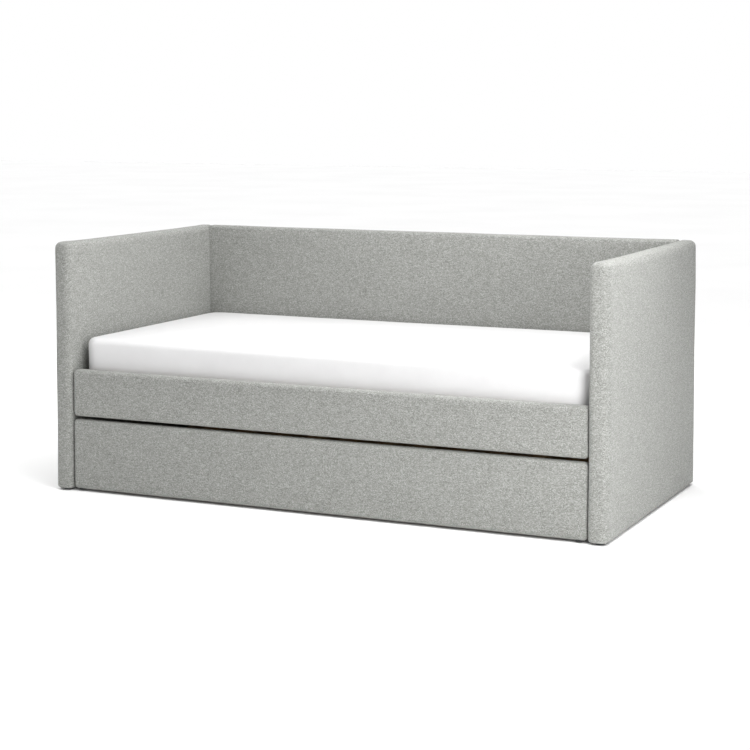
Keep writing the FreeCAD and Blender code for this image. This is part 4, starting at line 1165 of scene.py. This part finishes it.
FORK_DEPTH = 0.030
FORK_EYE_RADIUS = 0.0085
FORK_GAP = 0.0005
FORK_STEEL = 0.0025
WHEEL_RADIUS = 0.025
PLATE_WIDTH = 0.044
PLATE_LENGTH = 0.060
PLATE_CORNER = 0.007
PRESSED_EDGE = 0.0006
POWDER_BLACK = (0.012, 0.012, 0.013, 1)
POWDER_PALE = (0.028, 0.028, 0.030, 1)
AXLE_STEEL = (0.50, 0.50, 0.51, 1)
NYLON_BLACK = (0.014, 0.014, 0.015, 1)
NYLON_DUSTY = (0.050, 0.049, 0.047, 1)


def powder_coat_finish():
    """Baked powder with a slight orange-peel."""
    finish, tree, shader = new_finish("black_steel", {"Specular IOR Level": 0.5})
    place = object_place(tree)
    peel = cloudy(tree, place, 600, 2, 0.5)
    wear = cloudy(tree, place, 60, 4, 0.6)
    colours = colour_steps(tree, wear, [(0.4, POWDER_BLACK), (0.8, POWDER_PALE)])
    dress(tree, shader, colours, (wear, 0.2, 0.3), (peel, 0.00012, 0.6))
    return finish


def fork_outline(top):
    """A cheek's outline in the wheel's plane: wide under the plate, with a round end about the axle."""
    outline = [(-FORK_DEPTH / 2, top), (FORK_DEPTH / 2, top)]
    for degrees in range(10, -200, -20):
        turn = math.radians(degrees)
        outline.append((FORK_EYE_RADIUS * math.cos(turn), WHEEL_RADIUS + FORK_EYE_RADIUS * math.sin(turn)))
    return outline


def plate_outline():
    """The top plate seen from above, with its corners rounded."""
    outline = []
    for quarter, (side_x, side_y) in enumerate(((1, 1), (-1, 1), (-1, -1), (1, -1))):
        for step in range(4):
            turn = math.pi / 2 * (quarter + step / 3)
            outline.append((side_x * (PLATE_WIDTH / 2 - PLATE_CORNER) + PLATE_CORNER * math.cos(turn),
                            side_y * (PLATE_LENGTH / 2 - PLATE_CORNER) + PLATE_CORNER * math.sin(turn)))
    return outline


def pressed_part(shape, outline, near, far):
    """A flat pressing: its outline drawn from points made by near to points made by far."""
    first = [shape.verts.new(near(*point)) for point in outline]
    second = [shape.verts.new(far(*point)) for point in outline]
    shape.faces.new(first)
    shape.faces.new(second[::-1])
    for here in range(len(outline)):
        after = (here + 1) % len(outline)
        shape.faces.new([first[here], second[here], second[after], first[after]])


shape = bmesh.new()
plate_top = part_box("caster_forks")[1].z
plate_bottom = plate_top - FORK_STEEL + SCREW_PROUD
for row_name in ("front", "back"):
    for side_name in ("left", "right"):
        wheel_low, wheel_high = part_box(f"caster_wheel_{row_name}_{side_name}")
        middle = (wheel_low + wheel_high) / 2
        pressed_part(shape, plate_outline(),
                     lambda x, y: (middle.x + x, middle.y + y, plate_bottom),
                     lambda x, y: (middle.x + x, middle.y + y, plate_top))
        inside = (wheel_high.x - wheel_low.x) / 2 + FORK_GAP
        for side in (-1, 1):
            pressed_part(shape, fork_outline(plate_bottom + FORK_STEEL / 2),
                         lambda y, z: (middle.x + side * inside, middle.y + y, z),
                         lambda y, z: (middle.x + side * (inside + FORK_STEEL), middle.y + y, z))
bmesh.ops.recalc_face_normals(shape, faces=shape.faces)
bmesh.ops.bevel(shape, geom=list(shape.edges), offset=PRESSED_EDGE, segments=2, profile=0.5, affect="EDGES",
                clamp_overlap=True)
fork_set = close_shape("caster_fork_set", shape, powder_coat_finish())
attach(fork_set, "trundle")
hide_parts("caster_forks")
finish_parts(["caster_axles"], bright_steel_finish("axle_steel", AXLE_STEEL, 0.4))
nylon = moulded_finish("caster_nylon", NYLON_BLACK, NYLON_DUSTY, 0.45)
finish_parts(["caster_wheel_front_left", "caster_wheel_front_right", "caster_wheel_back_left",
              "caster_wheel_back_right"], nylon)


# ---- Floor, light and camera -----------------------------------------------------------------------------
# A pale floor, faintly lit from within, in a white room lit mostly from its ceiling and the foot of its
# walls.  Soft lamps hang before the seat and over the right arm, stand low at the front right and fill the
# back.  A black screen hung clear of the floor shades the far end of the right arm.

FLOOR_SIZE = 60
FLOOR_WHITE = (0.93, 0.93, 0.93, 1)
FLOOR_GREY = (0.90, 0.90, 0.90, 1)
FLOOR_GLOW = 0.02
WALL_FOOT_LIGHT = 1.0
WALL_LIGHT = 0.28
CEILING_LIGHT = 1.78
WALL_FOOT_EDGE = (0.16, 0.26)
CEILING_EDGE = (0.62, 0.78)
# Each lamp: its name, its place, what it is turned to, its width and its power.
SOFT_LAMPS = (
    ("seat_lamp", Vector((0.3, -1.0, 2.2)), Vector((-1.0, 0, 0.6)), 1.0, 22),
    ("arm_lamp", Vector((1.3, -0.3, 2.0)), Vector((-1.0, 0, 0.6)), 0.8, 24),
    ("front_lamp", Vector((1.9, -1.5, 0.85)), Vector((0.8, -0.3, 0.45)), 0.7, 20.5),
    ("back_lamp", Vector((-1.5, 3.8, 1.8)), Vector((0, 0.5, 0.4)), 2.0, 60),
)
SCREEN_WIDTH = 2.2
SCREEN_HEIGHT = 1.7
SCREEN_PLACE = (1.92, 1.05, 1.4)
SCREEN_TURN = 62
SCREEN_BLACK = (0.01, 0.01, 0.01, 1)
CAMERA_PLACE = (2.7178, -5.9295, 1.3856)
CAMERA_PITCH = 4.080
CAMERA_YAW = 24.697
CAMERA_LENS = 87.726
CAMERA_SHIFT = -0.19


def flat_stage(name, corners, finish):
    """One flat four-sided surface."""
    mesh = bpy.data.meshes.new(name)
    mesh.from_pydata(corners, [], [(0, 1, 2, 3)])
    return new_piece(name, mesh, finish)


floor_finish, tree, shader = new_finish("floor", {
    "Specular IOR Level": 0.1, "Emission Color": (1, 1, 1, 1), "Emission Strength": FLOOR_GLOW})
mottle = cloudy(tree, object_place(tree), 0.8, 2, 0.5)
floor_colours = colour_steps(tree, mottle, [(0.3, FLOOR_GREY), (0.7, FLOOR_WHITE)])
dress(tree, shader, floor_colours, (mottle, 0.1, 0.85))
reach = FLOOR_SIZE / 2
floor = flat_stage("floor", ((-reach, -reach, 0), (reach, -reach, 0), (reach, reach, 0), (-reach, reach, 0)),
                   floor_finish)
floor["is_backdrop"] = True

room = bpy.data.worlds.new("room")
room.use_nodes = True
sky = room.node_tree.nodes["Background"]
sky.inputs["Color"].default_value = (1, 1, 1, 1)
direction = add_node(room.node_tree, "ShaderNodeTexCoord").outputs["Generated"]
height = add_node(room.node_tree, "ShaderNodeSeparateXYZ", {0: direction}).outputs["Z"]
wall = first_out(room.node_tree, "ShaderNodeMapRange", {
    "Value": height, "From Min": WALL_FOOT_EDGE[0], "From Max": WALL_FOOT_EDGE[1],
    "To Min": WALL_FOOT_LIGHT, "To Max": WALL_LIGHT}, interpolation_type="SMOOTHSTEP")
ceiling = first_out(room.node_tree, "ShaderNodeMapRange", {
    "Value": height, "From Min": CEILING_EDGE[0], "From Max": CEILING_EDGE[1],
    "To Min": 0, "To Max": CEILING_LIGHT - WALL_LIGHT}, interpolation_type="SMOOTHSTEP")
room.node_tree.links.new(calc(room.node_tree, "ADD", wall, ceiling), sky.inputs["Strength"])
bpy.context.scene.world = room

for lamp_name, place, aim, size, power in SOFT_LAMPS:
    lamp_data = bpy.data.lights.new(lamp_name, "AREA")
    lamp_data.shape = "SQUARE"
    lamp_data.size = size
    lamp_data.energy = power
    lamp = bpy.data.objects.new(lamp_name, lamp_data)
    lamp.location = place
    lamp.rotation_euler = (aim - place).to_track_quat("-Z", "Y").to_euler()
    lamp.visible_camera = False
    bpy.context.scene.collection.objects.link(lamp)

wide = SCREEN_WIDTH / 2
tall = SCREEN_HEIGHT / 2
screen = flat_stage("screen", ((-wide, 0, -tall), (wide, 0, -tall), (wide, 0, tall), (-wide, 0, tall)),
                    new_finish("screen", {"Base Color": SCREEN_BLACK, "Roughness": 0.9})[0])
screen.location = SCREEN_PLACE
screen.rotation_euler = (0, 0, math.radians(SCREEN_TURN))
screen.visible_camera = False
screen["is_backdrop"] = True

camera_data = bpy.data.cameras.new("camera")
camera_data.sensor_width = 36
camera_data.lens = CAMERA_LENS
camera_data.shift_y = CAMERA_SHIFT
camera_data.clip_end = 100
camera = bpy.data.objects.new("camera", camera_data)
camera.location = CAMERA_PLACE
camera.rotation_euler = (math.radians(90 - CAMERA_PITCH), 0, math.radians(CAMERA_YAW))
bpy.context.scene.collection.objects.link(camera)
bpy.context.scene.camera = camera
bpy.context.scene.view_settings.view_transform = "Standard"


# ---- Sizes -----------------------------------------------------------------------------------------------
# How large the bed is as finished, with its pads full.

low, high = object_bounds()
